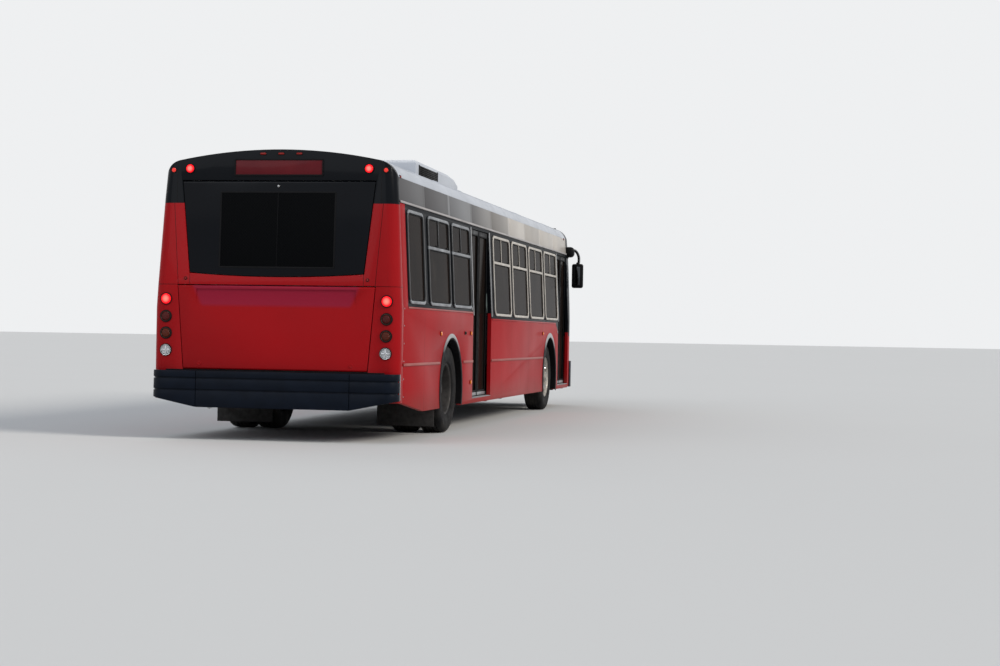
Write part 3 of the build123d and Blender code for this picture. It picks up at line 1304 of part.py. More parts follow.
# Drip rails over the windows and rub rails along the skirts
DRIP_T = 12.0
DRIP_H = 22.0
RUB_Z = 795.0
RUB_H = 28.0
RUB_T = 12.0
RUB_GAP = 70.0              # rub rails stop this far from the wheel arches
with BuildPart() as side_rails:
    for side in (-1, 1):
        with BuildSketch(across(REAR_CAP_Y)):
            with BuildLine():
                Polyline(
                    (side * half_width(RAIL_Z), RAIL_Z),
                    (side * (half_width(RAIL_Z) + DRIP_T), RAIL_Z),
                    (side * (half_width(RAIL_Z) + DRIP_T), RAIL_Z + DRIP_H),
                    (side * half_width(RAIL_Z + DRIP_H), RAIL_Z + DRIP_H),
                    close=True,
                )
            make_face()
        extrude(amount=REAR_CAP_Y - FRONT_CAP_Y)
        stretches = [
            (REAR_CAP_Y, REAR_AXLE_Y + ARCH_REAR_R + RUB_GAP),
            (REAR_AXLE_Y - ARCH_REAR_R - RUB_GAP, DOORS["rear_door"][0] + 20),
            (DOORS["rear_door"][1] - 20, FRONT_AXLE_Y + ARCH_FRONT_R + RUB_GAP),
        ]
        with BuildSketch(Plane.YZ.offset(side * HALF)):
            for aft, fore in stretches:
                with Locations(((aft + fore) / 2, RUB_Z)):
                    Rectangle(aft - fore, RUB_H)
        extrude(amount=side * RUB_T)
side_rails.part.label = "side_rails"
export_step(side_rails.part, "parts/side_rails.step")
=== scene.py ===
# %% [markdown]
# # A low-floor city bus
#
# The bus arrives as a frame of exact parts, each on the body that it moves with. This lesson gives every
# part its finish, rounds its edges, and models what a draughtsman leaves to the paint shop and the
# trimmer: seals, lamps, wheels, seats, pipes and rivets. Everything is in metres. The doors are on the
# -X side, the front is -Y, and the road is at Z = 0.

# %% Load the frame
import json
import math

import bmesh
import bpy
from mathutils import Matrix, Vector

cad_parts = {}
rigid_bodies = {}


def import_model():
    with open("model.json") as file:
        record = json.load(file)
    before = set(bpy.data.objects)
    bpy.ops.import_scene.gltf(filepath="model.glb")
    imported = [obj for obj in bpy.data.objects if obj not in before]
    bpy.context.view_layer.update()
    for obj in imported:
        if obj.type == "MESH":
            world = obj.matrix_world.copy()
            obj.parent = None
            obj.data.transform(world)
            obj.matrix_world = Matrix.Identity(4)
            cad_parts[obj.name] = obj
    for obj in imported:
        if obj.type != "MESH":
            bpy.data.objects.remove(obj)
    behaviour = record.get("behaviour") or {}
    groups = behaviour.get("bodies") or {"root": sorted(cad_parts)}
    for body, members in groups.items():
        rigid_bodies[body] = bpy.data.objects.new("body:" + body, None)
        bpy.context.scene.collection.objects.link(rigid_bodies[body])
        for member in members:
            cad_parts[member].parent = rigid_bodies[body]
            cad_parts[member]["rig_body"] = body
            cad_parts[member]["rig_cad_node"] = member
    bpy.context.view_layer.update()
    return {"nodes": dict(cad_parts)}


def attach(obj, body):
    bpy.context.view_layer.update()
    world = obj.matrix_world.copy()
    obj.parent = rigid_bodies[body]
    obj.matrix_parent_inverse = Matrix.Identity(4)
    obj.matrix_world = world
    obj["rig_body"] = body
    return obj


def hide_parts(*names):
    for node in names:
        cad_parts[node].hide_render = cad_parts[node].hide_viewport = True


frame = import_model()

# %% [markdown]
# ## The camera
#
# The photograph was taken from the pavement behind the bus with a short telephoto lens, held a little
# askew. The camera was solved from straight edges of the body, so its place is written here as plain
# numbers, and a roll about its own view axis gives the slight tilt.

# %% Camera
CAMERA_PLACE = Vector((-5.619, 24.016, 1.103))
CAMERA_AZIMUTH = math.radians(190.4)
CAMERA_ELEVATION = math.radians(-0.095)
CAMERA_ROLL = math.radians(0.986)
CAMERA_LENS = 66.6

camera_data = bpy.data.cameras.new("camera")
camera = bpy.data.objects.new("camera", camera_data)
bpy.context.scene.collection.objects.link(camera)
bpy.context.scene.camera = camera
away = Vector((
    math.sin(CAMERA_AZIMUTH) * math.cos(CAMERA_ELEVATION),
    -math.cos(CAMERA_AZIMUTH) * math.cos(CAMERA_ELEVATION),
    math.sin(CAMERA_ELEVATION),
))
level = (-away).to_track_quat("-Z", "Y").to_matrix().to_4x4()
camera.matrix_world = Matrix.Translation(CAMERA_PLACE) @ level @ Matrix.Rotation(CAMERA_ROLL, 4, "Z")
camera_data.lens = CAMERA_LENS
camera_data.sensor_width = 36.0
camera_data.clip_end = 2000.0
bpy.context.scene.view_settings.view_transform = "Standard"

# %% [markdown]
# ## Helpers for modelling by hand
#
# An operator acts on whatever is selected, so every step starts by selecting exactly one object. Faces
# are then picked in code by where they are and which way they look, as one would click on them.


# %% Selecting and finishing
def pick_none():
    bpy.ops.object.select_all(action="DESELECT")


def pick_all():
    bpy.ops.mesh.select_all(action="SELECT")


def only(piece):
    """Selects one object and makes it active."""
    pick_none()
    piece.hide_set(False)
    piece.select_set(True)
    bpy.context.view_layer.objects.active = piece
    return piece


def edit(piece):
    """Opens one object in edit mode with all of its mesh selected."""
    only(piece)
    bpy.ops.object.mode_set(mode="EDIT")
    pick_all()


def leave_edit():
    bpy.ops.object.mode_set(mode="OBJECT")


def pick_faces(test):
    """In edit mode, selects the faces whose centre and normal pass the test."""
    mesh = bmesh.from_edit_mesh(bpy.context.object.data)
    bpy.ops.mesh.select_all(action="DESELECT")
    for face in mesh.faces:
        face.select_set(bool(test(face.calc_center_median(), face.normal)))
    mesh.select_flush_mode()
    bmesh.update_edit_mesh(bpy.context.object.data)


def settle(piece):
    """Puts the object's place into its mesh, so that its origin is the bus's origin."""
    only(piece)
    bpy.ops.object.transform_apply(location=True, rotation=True, scale=True)
    return piece


def bevelled(piece, width, segments=2, angle=30):
    """Rounds every edge sharper than the angle and smooths what is left."""
    only(piece)
    modifier = piece.modifiers.new("edges", "BEVEL")
    modifier.width = width
    modifier.segments = segments
    modifier.limit_method = "ANGLE"
    modifier.angle_limit = math.radians(angle)
    modifier.harden_normals = False
    bpy.ops.object.modifier_apply(modifier=modifier.name)
    bpy.ops.object.shade_smooth_by_angle(angle=math.radians(angle))
    return piece


def finished(pieces, name, material, stands_for=(), body="bus_body"):
    """Joins pieces, names the whole, gives it its paint and lets it ride on its body."""
    whole = joined(pieces) if isinstance(pieces, list) else pieces
    whole.name = name
    whole.data.name = name
    whole.data.materials.clear()
    whole.data.materials.append(material)
    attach(whole, body)
    if stands_for:
        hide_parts(*stands_for)
    return whole


def joined(pieces):
    """Joins objects into the first of them."""
    only(pieces[0])
    for piece in pieces[1:]:
        piece.select_set(True)
    if len(pieces) > 1:
        bpy.ops.object.join()
    return pieces[0]

# %% [markdown]
# ## Helpers for finishes
#
# Each finish is a small network of nodes. All patterns are laid out on Object coordinates, which are
# metres on the bus because every object's origin is the bus's origin.


# %% Node helpers
class Finish:
    """A material with its Principled shader and short ways to add nodes to it."""

    def __init__(self, name, color, roughness, metallic=0.0, coat=0.0, coat_roughness=0.05, shine=0.5):
        self.material = bpy.data.materials.new(name)
        self.material.use_nodes = True
        self.tree = self.material.node_tree
        self.shader = self.tree.nodes["Principled BSDF"]
        for socket, value in (
            ("Base Color", (*color, 1.0)), ("Roughness", roughness), ("Metallic", metallic),
            ("Coat Weight", coat), ("Coat Roughness", coat_roughness), ("Specular IOR Level", shine),
        ):
            self.set(socket, value)
        self.coords = self.node("TexCoord").outputs["Object"]

    def node(self, kind, **inputs):
        """Adds a node. Each input is given a number, a tuple or another node's output."""
        node = self.tree.nodes.new("ShaderNode" + kind)
        for socket, value in inputs.items():
            self.join(value, node.inputs[socket.replace("_", " ")])
        return node

    def join(self, value, socket):
        if isinstance(value, (int, float, tuple)):
            socket.default_value = value
        else:
            self.tree.links.new(value, socket)

    def set(self, socket, value):
        self.shader.inputs[socket].default_value = value

    def feed(self, socket, output):
        self.tree.links.new(output, self.shader.inputs[socket])

    def mapped(self, scale=(1, 1, 1), location=(0, 0, 0)):
        """Object coordinates, stretched and shifted."""
        return self.node("Mapping", Scale=scale, Location=location, Vector=self.coords).outputs["Vector"]

    def axis(self, letter, vector=None):
        """One coordinate of a vector."""
        return self.node("SeparateXYZ", Vector=vector or self.coords).outputs[letter]

    def noise(self, scale, detail=3.0, vector=None):
        return self.node("TexNoise", Scale=scale, Detail=detail, Vector=vector or self.coords).outputs["Fac"]

    def cloud(self, scale, detail, low=0.3, high=0.7, vector=None):
        """Noise whose values from low to high are spread over 0 to 1."""
        return self.between(self.noise(scale, detail, vector), 0.0, 1.0, low, high)

    def maths(self, operation, first, second=0.0, third=0.0):
        node = self.node("Math")
        node.operation = operation
        for socket, value in zip(node.inputs, (first, second, third)):
            self.join(value, socket)
        return node.outputs["Value"]

    def times(self, first, second):
        return self.maths("MULTIPLY", first, second)

    def plus(self, first, second):
        return self.maths("ADD", first, second)

    def minus(self, first, second):
        return self.maths("SUBTRACT", first, second)

    def above(self, value, limit):
        return self.maths("GREATER_THAN", value, limit)

    def below(self, value, limit):
        return self.maths("LESS_THAN", value, limit)

    def size(self, value):
        return self.maths("ABSOLUTE", value)

    def wave(self, value, rate):
        return self.maths("SINE", self.times(value, rate))

    def checks(self, rate):
        """Waves across the bus times waves up it: a fine grid."""
        return self.times(self.wave(self.axis("X"), rate), self.wave(self.axis("Z"), rate))

    def between(self, value, low, high, from_low=0.0, from_high=1.0):
        """Maps a value from one range to another, clamped."""
        ends = {"From_Min": from_low, "From_Max": from_high, "To_Min": low, "To_Max": high}
        return self.node("MapRange", Value=value, **ends).outputs["Result"]

    def mixed(self, factor, first, second):
        """Blends two colours, each a node's output or plain numbers."""
        node = self.tree.nodes.new("ShaderNodeMix")
        node.data_type = "RGBA"
        self.tree.links.new(factor, node.inputs["Factor"])
        sockets = [s for s in node.inputs if s.type == "RGBA"]
        for socket, value in zip(sockets, (first, second)):
            self.join((*value, 1.0) if isinstance(value, tuple) else value, socket)
        return [s for s in node.outputs if s.type == "RGBA"][0]

    def near(self, value, at, half):
        """1 where the value lies within half of a place, else 0."""
        return self.below(self.size(self.minus(value, at)), half)

    def inside(self, value, low, high):
        return self.near(value, (low + high) / 2, (high - low) / 2)

    def any_of(self, masks):
        whole = masks[0]
        for mask in masks[1:]:
            whole = self.maths("MAXIMUM", whole, mask)
        return whole

    def bump(self, height, strength=0.3, distance=0.002):
        bump = self.node("Bump", Strength=strength, Distance=distance, Height=height)
        self.feed("Normal", bump.outputs["Normal"])

    def worn_roughness(self, low, high, scale):
        """Roughness that wanders between two values, as on a washed and driven surface."""
        self.feed("Roughness", self.between(self.noise(scale, 4.0), low, high, 0.3, 0.7))


# %% [markdown]
# ## Paint
#
# The body is deep red enamel under a clear coat. The sprayer masks a black band round the windows, the
# whole head of the rear end and the windscreen surround. A two-tone finish is one material: a mask made
# from coordinates chooses the colour, so the edge between the colours is as crisp as masking tape
# leaves it. Road dust gathers on the lower half metre.

# %% Paint finishes
RED = (0.36, 0.006, 0.009)
RED_DULL = (0.27, 0.007, 0.009)
# a cooler red: painted reflection of the sky in the hollow of the engine hatch
PAINTED_SKY_RED = (0.27, 0.014, 0.04)
BLACK = (0.004, 0.005, 0.007)
SEAM_BLACK = (0.004, 0.003, 0.003)
DUST = (0.1, 0.065, 0.052)
DUST_TOP = 0.55
BELT_REAR, BELT_FRONT = 1.385, 1.32     # where the black band begins, behind and ahead of the rear door
DOOR_FRONT_EDGE = 1.07
BAND_START = 5.645
HEAD_EDGE = 2.41
SCREEN_EDGE = 1.12
POST_LOW, POST_HALF, POST_SLANT = 1.575, 1.035, 0.0774      # the slanting joint of a rear corner post
SCOOP_LOW, SCOOP_HALF, SCOOP_FLARE = 1.37, 0.785, 0.45      # the hollow at the top of the engine hatch


def two_tone(name, mask_of=None, seams_of=None, gloss=0.26, sky_reflection_of=None, coat=0.09):
    """Red enamel with black where the mask is 1, and dark joints where panels meet."""
    paint = Finish(name, RED, gloss, coat=coat, coat_roughness=0.1, shine=0.03)
    coloured = paint.mixed(paint.cloud(0.9, 3.0, 0.15, 0.85), RED, RED_DULL)
    # where a mask is given, a cooler red laid in as a painted reflection of the sky
    if sky_reflection_of:
        coloured = paint.mixed(sky_reflection_of(paint), coloured, PAINTED_SKY_RED)
    if mask_of:
        coloured = paint.mixed(mask_of(paint), coloured, BLACK)
    grime = paint.between(paint.axis("Z"), 0.45, 0.0, 0.28, DUST_TOP)
    dirty = paint.times(grime, paint.between(paint.noise(6.0, 4.0), 0.4, 1.0, 0.2, 0.8))
    coloured = paint.mixed(dirty, coloured, DUST)
    if seams_of:
        seams = seams_of(paint)
        coloured = paint.mixed(seams, coloured, SEAM_BLACK)
        paint.bump(paint.minus(1.0, seams), 0.6, 0.004)
    paint.feed("Base Color", coloured)
    paint.feed("Roughness", paint.between(paint.noise(1.7, 3.0), gloss, gloss + 0.1, 0.1, 0.9))
    return paint.material


def side_mask(paint):
    """1 above the belt moulding and ahead of the red rear corner."""
    along = paint.axis("Y")
    belt = paint.between(paint.below(along, DOOR_FRONT_EDGE), BELT_REAR, BELT_FRONT)
    dip = paint.times(paint.between(along, 0.14, 0.0, -4.56, -4.27), paint.below(paint.axis("X"), 0.0))
    above = paint.above(paint.axis("Z"), paint.minus(belt, dip))
    return paint.times(above, paint.below(along, BAND_START))


def side_seams(paint):
    """Upright joints of the skin, service flaps low in the skirt, and on the left the fuel flap."""
    along, height = paint.axis("Y"), paint.axis("Z")

    def uprights(places, half, top):
        lines = paint.any_of([paint.near(along, y, half) for y in places])
        return paint.times(lines, paint.below(height, top))

    outer, inner = [
        paint.times(paint.inside(along, 1.6 + e, 1.9 - e), paint.inside(height, 0.93 + e, 1.2 - e))
        for e in (0.0, 0.005)
    ]
    flap = paint.times(paint.minus(outer, inner), paint.above(paint.axis("X"), 0.0))
    return paint.any_of([
        uprights((4.87, -0.43, -1.805, -3.05), 0.0022, 1.3),
        uprights((0.3, -1.15, -2.4), 0.0018, 0.795), flap,
    ])


def rear_seams(paint):
    """Joints of the rear shell: header, corner posts and the strip over the engine hatch."""
    wide, height = paint.size(paint.axis("X")), paint.axis("Z")
    slant = paint.maths("MULTIPLY_ADD", height, POST_SLANT, POST_HALF - POST_LOW * POST_SLANT)
    post = paint.below(paint.size(paint.minus(wide, slant)), 0.0022)
    return paint.any_of([
        paint.times(paint.near(wide, 1.075, 0.0022), paint.above(height, HEAD_EDGE)),
        paint.times(post, paint.inside(height, POST_LOW, HEAD_EDGE)),
        paint.times(paint.near(height, 1.577, 0.0025), paint.above(wide, 0.9)),
        paint.times(paint.near(wide, 0.914, 0.002), paint.inside(height, POST_LOW, 1.705)),
    ])


def scoop_sky_reflection(paint):
    """The hollow at the top of the engine hatch looks up, so its red is cooler: a painted reflection of the
    sky.
    """
    wide, height = paint.size(paint.axis("X")), paint.axis("Z")
    flared = paint.minus(wide, paint.times(paint.minus(height, SCOOP_LOW), SCOOP_FLARE))
    across = paint.between(flared, 0.8, 0.0, SCOOP_HALF - 0.02, SCOOP_HALF + 0.02)
    return paint.times(across, paint.between(height, 0.0, 1.0, SCOOP_LOW - 0.02, SCOOP_LOW + 0.015))


red_sides = two_tone("red_and_black_side_paint", side_mask, side_seams, 0.36, coat=0.05)
red_rear = two_tone("red_and_black_rear_paint", lambda p: p.above(p.axis("Z"), HEAD_EDGE), rear_seams)
red_front = two_tone("red_and_black_front_paint", lambda p: p.above(p.axis("Z"), SCREEN_EDGE), gloss=0.28)
red_plain = two_tone("red_paint")
# the hollow at the top of the engine hatch carries a painted reflection of the sky
red_hatch = two_tone("red_hatch_paint", sky_reflection_of=scoop_sky_reflection)


def plain(name, color, roughness, metallic=0.0, coat=0.0, patch=0.25, scale=4.0, bump=0.0, grain=60.0,
          shine=0.5):
    """One colour that wanders a little in tone and gloss, with an optional fine grain."""
    finish = Finish(name, color, roughness, metallic, coat, shine=shine)
    darker = tuple(c * (1.0 - patch) for c in color)
    finish.feed("Base Color", finish.mixed(finish.cloud(scale, 5.0), color, darker))
    finish.worn_roughness(roughness * 0.8, min(roughness * 1.25, 1.0), scale * 1.7)
    if bump:
        finish.bump(finish.noise(grain, 4.0), bump)
    return finish.material


black_gloss = plain("black_enamel", (0.0035, 0.0045, 0.007), 0.12, patch=0.2, scale=1.2, shine=0.12)
black_satin = plain("black_satin", (0.008, 0.008, 0.009), 0.38, patch=0.3, scale=6.0, bump=0.05, shine=0.06)
black_rubber = plain("black_rubber", (0.01, 0.01, 0.011), 0.62, patch=0.35, scale=12.0, bump=0.12, shine=0.06)
bumper_skin = plain("bumper_skin", (0.004, 0.007, 0.014), 0.42, patch=0.3, scale=7.0, bump=0.12, grain=220.0,
                    shine=0.08)
sooty_black = plain("sooty_black", (0.008, 0.008, 0.008), 0.8, patch=0.4, scale=9.0, bump=0.2, shine=0.1)
roof_white = plain("roof_enamel", (0.47, 0.5, 0.55), 0.4, coat=0.05, patch=0.14, scale=2.0, shine=0.12)
aluminium = plain("anodised_aluminium", (0.44, 0.45, 0.46), 0.36, 0.5, patch=0.12, scale=2.0, shine=0.2)
chassis = plain("chassis_black", (0.022, 0.02, 0.019), 0.72, patch=0.5, scale=14.0, bump=0.35, grain=45.0)


def fender_finish():
    """Rubber flare: black, with pale patches along its top that are a painted highlight."""
    finish = Finish("fender_rubber_grey", (0.02, 0.02, 0.02), 0.45, shine=0.1)
    top = finish.between(finish.axis("Z"), 0.0, 1.0, 0.9, 1.06)
    patchy = finish.between(finish.noise(9.0, 4.0), 0.75, 1.0, 0.3, 0.7)
    top_highlight = finish.times(top, patchy)
    # pale grey along the top: painted highlight, laid in patches by noise
    finish.feed("Base Color", finish.mixed(top_highlight, (0.012, 0.013, 0.015), (0.36, 0.36, 0.37)))
    finish.feed("Roughness", finish.between(top, 0.55, 0.34))
    return finish.material


def rail_finish():
    """The drip rail is left bright; the rub rail low on the side is red with pale pink patches, a painted
    highlight.
    """
    finish = Finish("side_rail_metal", (0.4, 0.4, 0.4), 0.4, shine=0.15)
    tone_and_highlight = finish.cloud(4.0, 4.0, vector=finish.mapped(scale=(1, 0.5, 1)))
    # pale pink patches on the red rail: painted highlight of its top edge, laid on by noise
    low = finish.mixed(tone_and_highlight, (0.26, 0.03, 0.028), (0.36, 0.13, 0.115))
    high = finish.mixed(tone_and_highlight, (0.4, 0.38, 0.38), (0.3, 0.29, 0.29))
    finish.feed("Base Color", finish.mixed(finish.above(finish.axis("Z"), 1.6), low, high))
    finish.feed("Roughness", finish.between(tone_and_highlight, 0.34, 0.5))
    return finish.material


def frame_finish():
    """Window frames: near-black painted shade at the back with painted highlights on sills, heads and bars,
    and a pale cream painted sunlit tone all round further forward.
    """
    finish = Finish("window_frame_metal", (0.4, 0.4, 0.4), 0.36, metallic=0.25, shine=0.15)
    height, along = finish.axis("Z"), finish.axis("Y")
    # sills, heads and transom bars at the back get a painted highlight
    highlit_bars = finish.times(finish.near(height, 2.04, 0.017), finish.below(along, 4.7))
    level = finish.any_of([finish.near(height, 2.372, 0.024), finish.near(height, 1.436, 0.022), highlit_bars])
    worn = finish.cloud(5.0, 4.0)
    # at the back: near-black painted shade with painted highlights; further forward: cream, a painted sunlit
    # tone
    shaded_behind = finish.mixed(
        level, (0.045, 0.046, 0.048), finish.mixed(worn, (0.25, 0.265, 0.285), (0.15, 0.158, 0.17)),
    )
    ahead = finish.mixed(worn, (0.54, 0.5, 0.45), (0.4, 0.375, 0.34))
    finish.feed("Base Color", finish.mixed(finish.between(along, 0.0, 1.0, 2.33, 1.4), shaded_behind, ahead))
    finish.feed("Roughness", finish.between(worn, 0.3, 0.44))
    return finish.material


PANEL_LONG = 1.29
PANEL_START = -10.689


def cove_finish():
    """Brushed aluminium panels whose tone changes a little from one panel to the next, with painted shade on
    the rear panels, a painted sunlit cream on the front ones and soft dark blotches of painted reflection.
    """
    finish = Finish("cove_aluminium", (0.55, 0.56, 0.57), 0.4, metallic=0.3, shine=0.15)
    along = finish.axis("Y")
    panel = finish.maths("FLOOR", finish.maths("DIVIDE", finish.minus(along, PANEL_START), PANEL_LONG))
    tone = finish.maths("FRACT", finish.times(finish.wave(panel, 12.9), 4.3))
    # rear panels dark grey: painted shade; front panels cream: painted sunlight
    shaded_rear_tone = finish.mixed(tone, (0.165, 0.168, 0.176), (0.05, 0.046, 0.047))
    sunlit_front_tone = finish.mixed(tone, (0.56, 0.52, 0.47), (0.42, 0.395, 0.365))
    colour = finish.mixed(finish.between(along, 0.0, 1.0, 2.3, -1.3), shaded_rear_tone, sunlit_front_tone)
    # soft dark blotches: painted reflection
    sheen = finish.between(finish.noise(1.1, 2.0), 0.8, 1.12, 0.3, 0.7)
    finish.feed("Base Color", finish.mixed(finish.minus(1.12, sheen), colour, (0.1, 0.1, 0.105)))
    finish.feed("Roughness", finish.between(tone, 0.34, 0.48))
    finish.bump(finish.noise(90.0, 2.0, finish.mapped(scale=(1, 0.02, 1))), 0.06, 0.001)
    return finish.material


fender_grey, rail_metal = fender_finish(), rail_finish()
frame_metal, cove_metal = frame_finish(), cove_finish()
print("paints made:", len(bpy.data.materials))

# %% [markdown]
# ## The floor and the light
#
# A pale studio floor that fades into a pale background, three large soft lamps and an even world. The
# background is only seen by the camera and in reflections, so it adds no light of its own.

# %% Stage
FLOOR_GREY = (0.62, 0.62, 0.61)
pick_none()
bpy.ops.mesh.primitive_plane_add(size=900.0, location=(0, 0, -0.002))
studio_floor = bpy.context.object
studio_floor.name = "studio_floor"
floor_finish = plain("studio_floor_grey", FLOOR_GREY, 0.98, patch=0.01, scale=0.2, shine=0.0)
studio_floor.data.materials.append(floor_finish)

world = bpy.data.worlds.new("studio")
bpy.context.scene.world = world
world.use_nodes = True
nodes, links = world.node_tree.nodes, world.node_tree.links
nodes.clear()
plain_light = nodes.new("ShaderNodeBackground")
plain_light.inputs["Color"].default_value = (0.82, 0.89, 1.0, 1)
plain_light.inputs["Strength"].default_value = 0.5
seen = nodes.new("ShaderNodeBackground")
seen.inputs["Color"].default_value = (0.86, 0.87, 0.88, 1)
seen.inputs["Strength"].default_value = 1.0
rays = nodes.new("ShaderNodeLightPath")
chooser = nodes.new("ShaderNodeMixShader")
out = nodes.new("ShaderNodeOutputWorld")
seen_by = rays.outputs["Is Camera Ray"]
for ray in ("Is Glossy Ray", "Is Transmission Ray"):
    either = nodes.new("ShaderNodeMath")
    either.operation = "MAXIMUM"
    links.new(seen_by, either.inputs[0])
    links.new(rays.outputs[ray], either.inputs[1])
    seen_by = either.outputs[0]
links.new(seen_by, chooser.inputs["Fac"])
links.new(plain_light.outputs["Background"], chooser.inputs[1])
links.new(seen.outputs["Background"], chooser.inputs[2])
links.new(chooser.outputs["Shader"], out.inputs["Surface"])


def wide_sun(name, place, strength, angle, color=(1, 1, 1)):
    """Even, soft light from one side, which lights the far floor as much as the near one."""
    data = bpy.data.lights.new(name, "SUN")
    data.energy = strength
    data.angle = math.radians(angle)
    data.color = color
    sun = bpy.data.objects.new(name, data)
    bpy.context.scene.collection.objects.link(sun)
    sun.matrix_world = (-Vector(place)).to_track_quat("-Z", "Y").to_matrix().to_4x4()
    return sun


wide_sun("key", (-10, 2.5, 6.5), 2.1, 22, (1.0, 0.94, 0.86))
wide_sun("fill", (5, 9, 7), 0.7, 50, (0.95, 0.97, 1.0))
wide_sun("front_fill", (6, -10, 6), 0.6, 50)

# %% [markdown]
# ## Body panels with rounded edges
#
# Sheet metal and glass fibre never have knife edges. Each panel of the frame is copied, its triangles
# are merged back into whole faces, and a small bevel catches the light along every real edge. The copy
# stands for the exact part.


# %% Copies with rounded edges
def skin_area(mesh):
    mesh.calc_loop_triangles()
    return sum(triangle.area for triangle in mesh.loop_triangles)


def dressed(node, material, width=0.003, segments=2, angle=30):
    """A copy of a part with its triangles merged and its edges rounded."""
    source = frame["nodes"][node]
    body = source["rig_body"]
    copy = source.copy()
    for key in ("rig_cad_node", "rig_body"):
        del copy[key]
    bpy.context.scene.collection.objects.link(copy)
    copy.parent = None
    copy.matrix_world = Matrix.Identity(4)
    for merge in (True, False):
        copy.data = source.data.copy()
        edit(copy)
        bpy.ops.mesh.remove_doubles(threshold=0.00002)
        if merge:
            bpy.ops.mesh.dissolve_limited(angle_limit=math.radians(0.3))
        leave_edit()
        if width:
            bevelled(copy, width, segments, angle)
        if skin_area(copy.data) < 1.01 * skin_area(source.data):
            break
        print(node, "keeps its triangles, because a merged face closed an opening when its edge was rounded")
    return finished(copy, node + "_skin", material, stands_for=[node], body=body)


PANELS = (
    # node, slot, material, edge radius
    ("right_side", "red_paint", red_sides, 0.003),
    ("left_side", "red_paint", red_sides, 0.003),
    ("rear_cap", "red_paint", red_rear, 0.004),
    ("front_mask", "red_paint", red_front, 0.006),
    ("engine_hatch", "red_paint", red_hatch, 0.004),
    ("upper_rear_door", "black_trim", black_gloss, 0.004),
    ("rear_bumper", "bumper_plastic", bumper_skin, 0.006),
    ("front_bumper", "bumper_plastic", bumper_skin, 0.01),
    ("cove_panels", "aluminium_trim", cove_metal, 0.002),
    ("roof", "white_paint", roof_white, 0.003),
    ("roof_unit", "white_paint", roof_white, 0.012),
    ("rear_roof_hatch", "white_paint", roof_white, 0.008),
    ("front_roof_hatch", "white_paint", roof_white, 0.008),
    ("side_rails", "aluminium_trim", rail_metal, 0.003),
)
for node, slot, material, radius in PANELS:
    skin = dressed(node, material, radius)
    print(node, "has", len(skin.data.polygons), "faces")

# %% [markdown]
# ## Glass, rubber, lenses and cloth
#
# Bus glass is dyed through, so it lets little light in and mirrors the street. Lens plastics are clear
# to look at but deep in colour. The seat cloth is a short pile moquette with a small fleck, laid out
# by coordinates so that it needs no seams in the pattern.


# %% Glass and lenses
def clear(name, color, roughness, transmission, ior=1.5, shine=0.3, glow=None, glow_power=0.0):
    """A see-through finish: window glass or lens plastic, slightly uneven like the real sheet."""
    finish = Finish(name, color, roughness, shine=shine)
    finish.set("Transmission Weight", transmission)
    finish.set("IOR", ior)
    finish.feed("Base Color", finish.mixed(finish.cloud(1.7, 3.0), color, tuple(c * 0.8 for c in color)))
    finish.feed("Roughness", finish.between(finish.noise(5.0, 4.0), roughness, roughness + 0.05, 0.45, 0.8))
    if glow:
        finish.set("Emission Color", (*glow, 1.0))
        finish.set("Emission Strength", glow_power)
    finish.bump(finish.noise(0.9, 1.0), 0.03, 0.01)
    return finish


def window_finish():
    """Tinted glass, dark brown, with paler streaks of painted reflection and pale patches of painted glint.
    """
    finish = clear("dark_window_glass", (0.04, 0.028, 0.022), 0.1, 0.45, ior=1.05, shine=0.1)
    # paler streaks: painted reflection; pale patches: painted glint
    reflection_streaks = finish.cloud(0.9, 2.0, 0.38, 0.72, finish.mapped(scale=(1.0, 2.6, 1.2)))
    place = finish.mapped(scale=(1.0, 2.0, 1.2), location=(3, 1, 2))
    glints = finish.between(finish.noise(1.4, 2.0, place), 0.0, 0.8, 0.6, 0.74)
    brown = finish.mixed(reflection_streaks, (0.016, 0.0115, 0.01), (0.027, 0.0185, 0.015))
    finish.feed("Base Color", finish.mixed(glints, brown, (0.036, 0.028, 0.023)))
    return finish.material


window_glass = window_finish()
screen_glass = clear("windscreen_glass", (0.16, 0.19, 0.18), 0.01, 0.85, ior=1.12).material

LIT_LAMPS = ((1.16, 1.429, 0.054), (0.943, 2.763, 0.043))     # x, z and radius of the lens
LIT_PRISMS = 420.0


def lens_finish(name, color, prisms, glow=None, glow_power=0.0, transmission=0.35):
    """Lens plastic with moulded prisms, drawn as a fine grid of bumps."""
    finish = clear(name, color, 0.1, transmission, shine=0.12, glow=glow, glow_power=glow_power)
    finish.bump(finish.checks(prisms), 0.45)
    return finish.material


def lit_finish():
    """A lit lamp burns pale in its middle and deep red at its rim."""
    finish = clear("lit_red_lens", (0.6, 0.004, 0.01), 0.1, 0.2, shine=0.1)
    wide, height = finish.size(finish.axis("X")), finish.axis("Z")
    squares = []
    for x, z, r in LIT_LAMPS:
        parts = [finish.maths("DIVIDE", finish.minus(value, at), r) for value, at in ((wide, x), (height, z))]
        squares.append(finish.plus(*(finish.times(part, part) for part in parts)))
    away = finish.maths("MINIMUM", *squares)
    glow = finish.between(away, 1.0, 0.0, 0.0, 0.62)
    finish.feed("Emission Color", finish.mixed(glow, (0.85, 0.004, 0.012), (1.0, 0.16, 0.12)))
    prisms = finish.times(finish.checks(LIT_PRISMS), 0.25)
    finish.feed("Emission Strength", finish.plus(finish.between(away, 1.9, 0.75, 0.1, 1.0), prisms))
    return finish.material


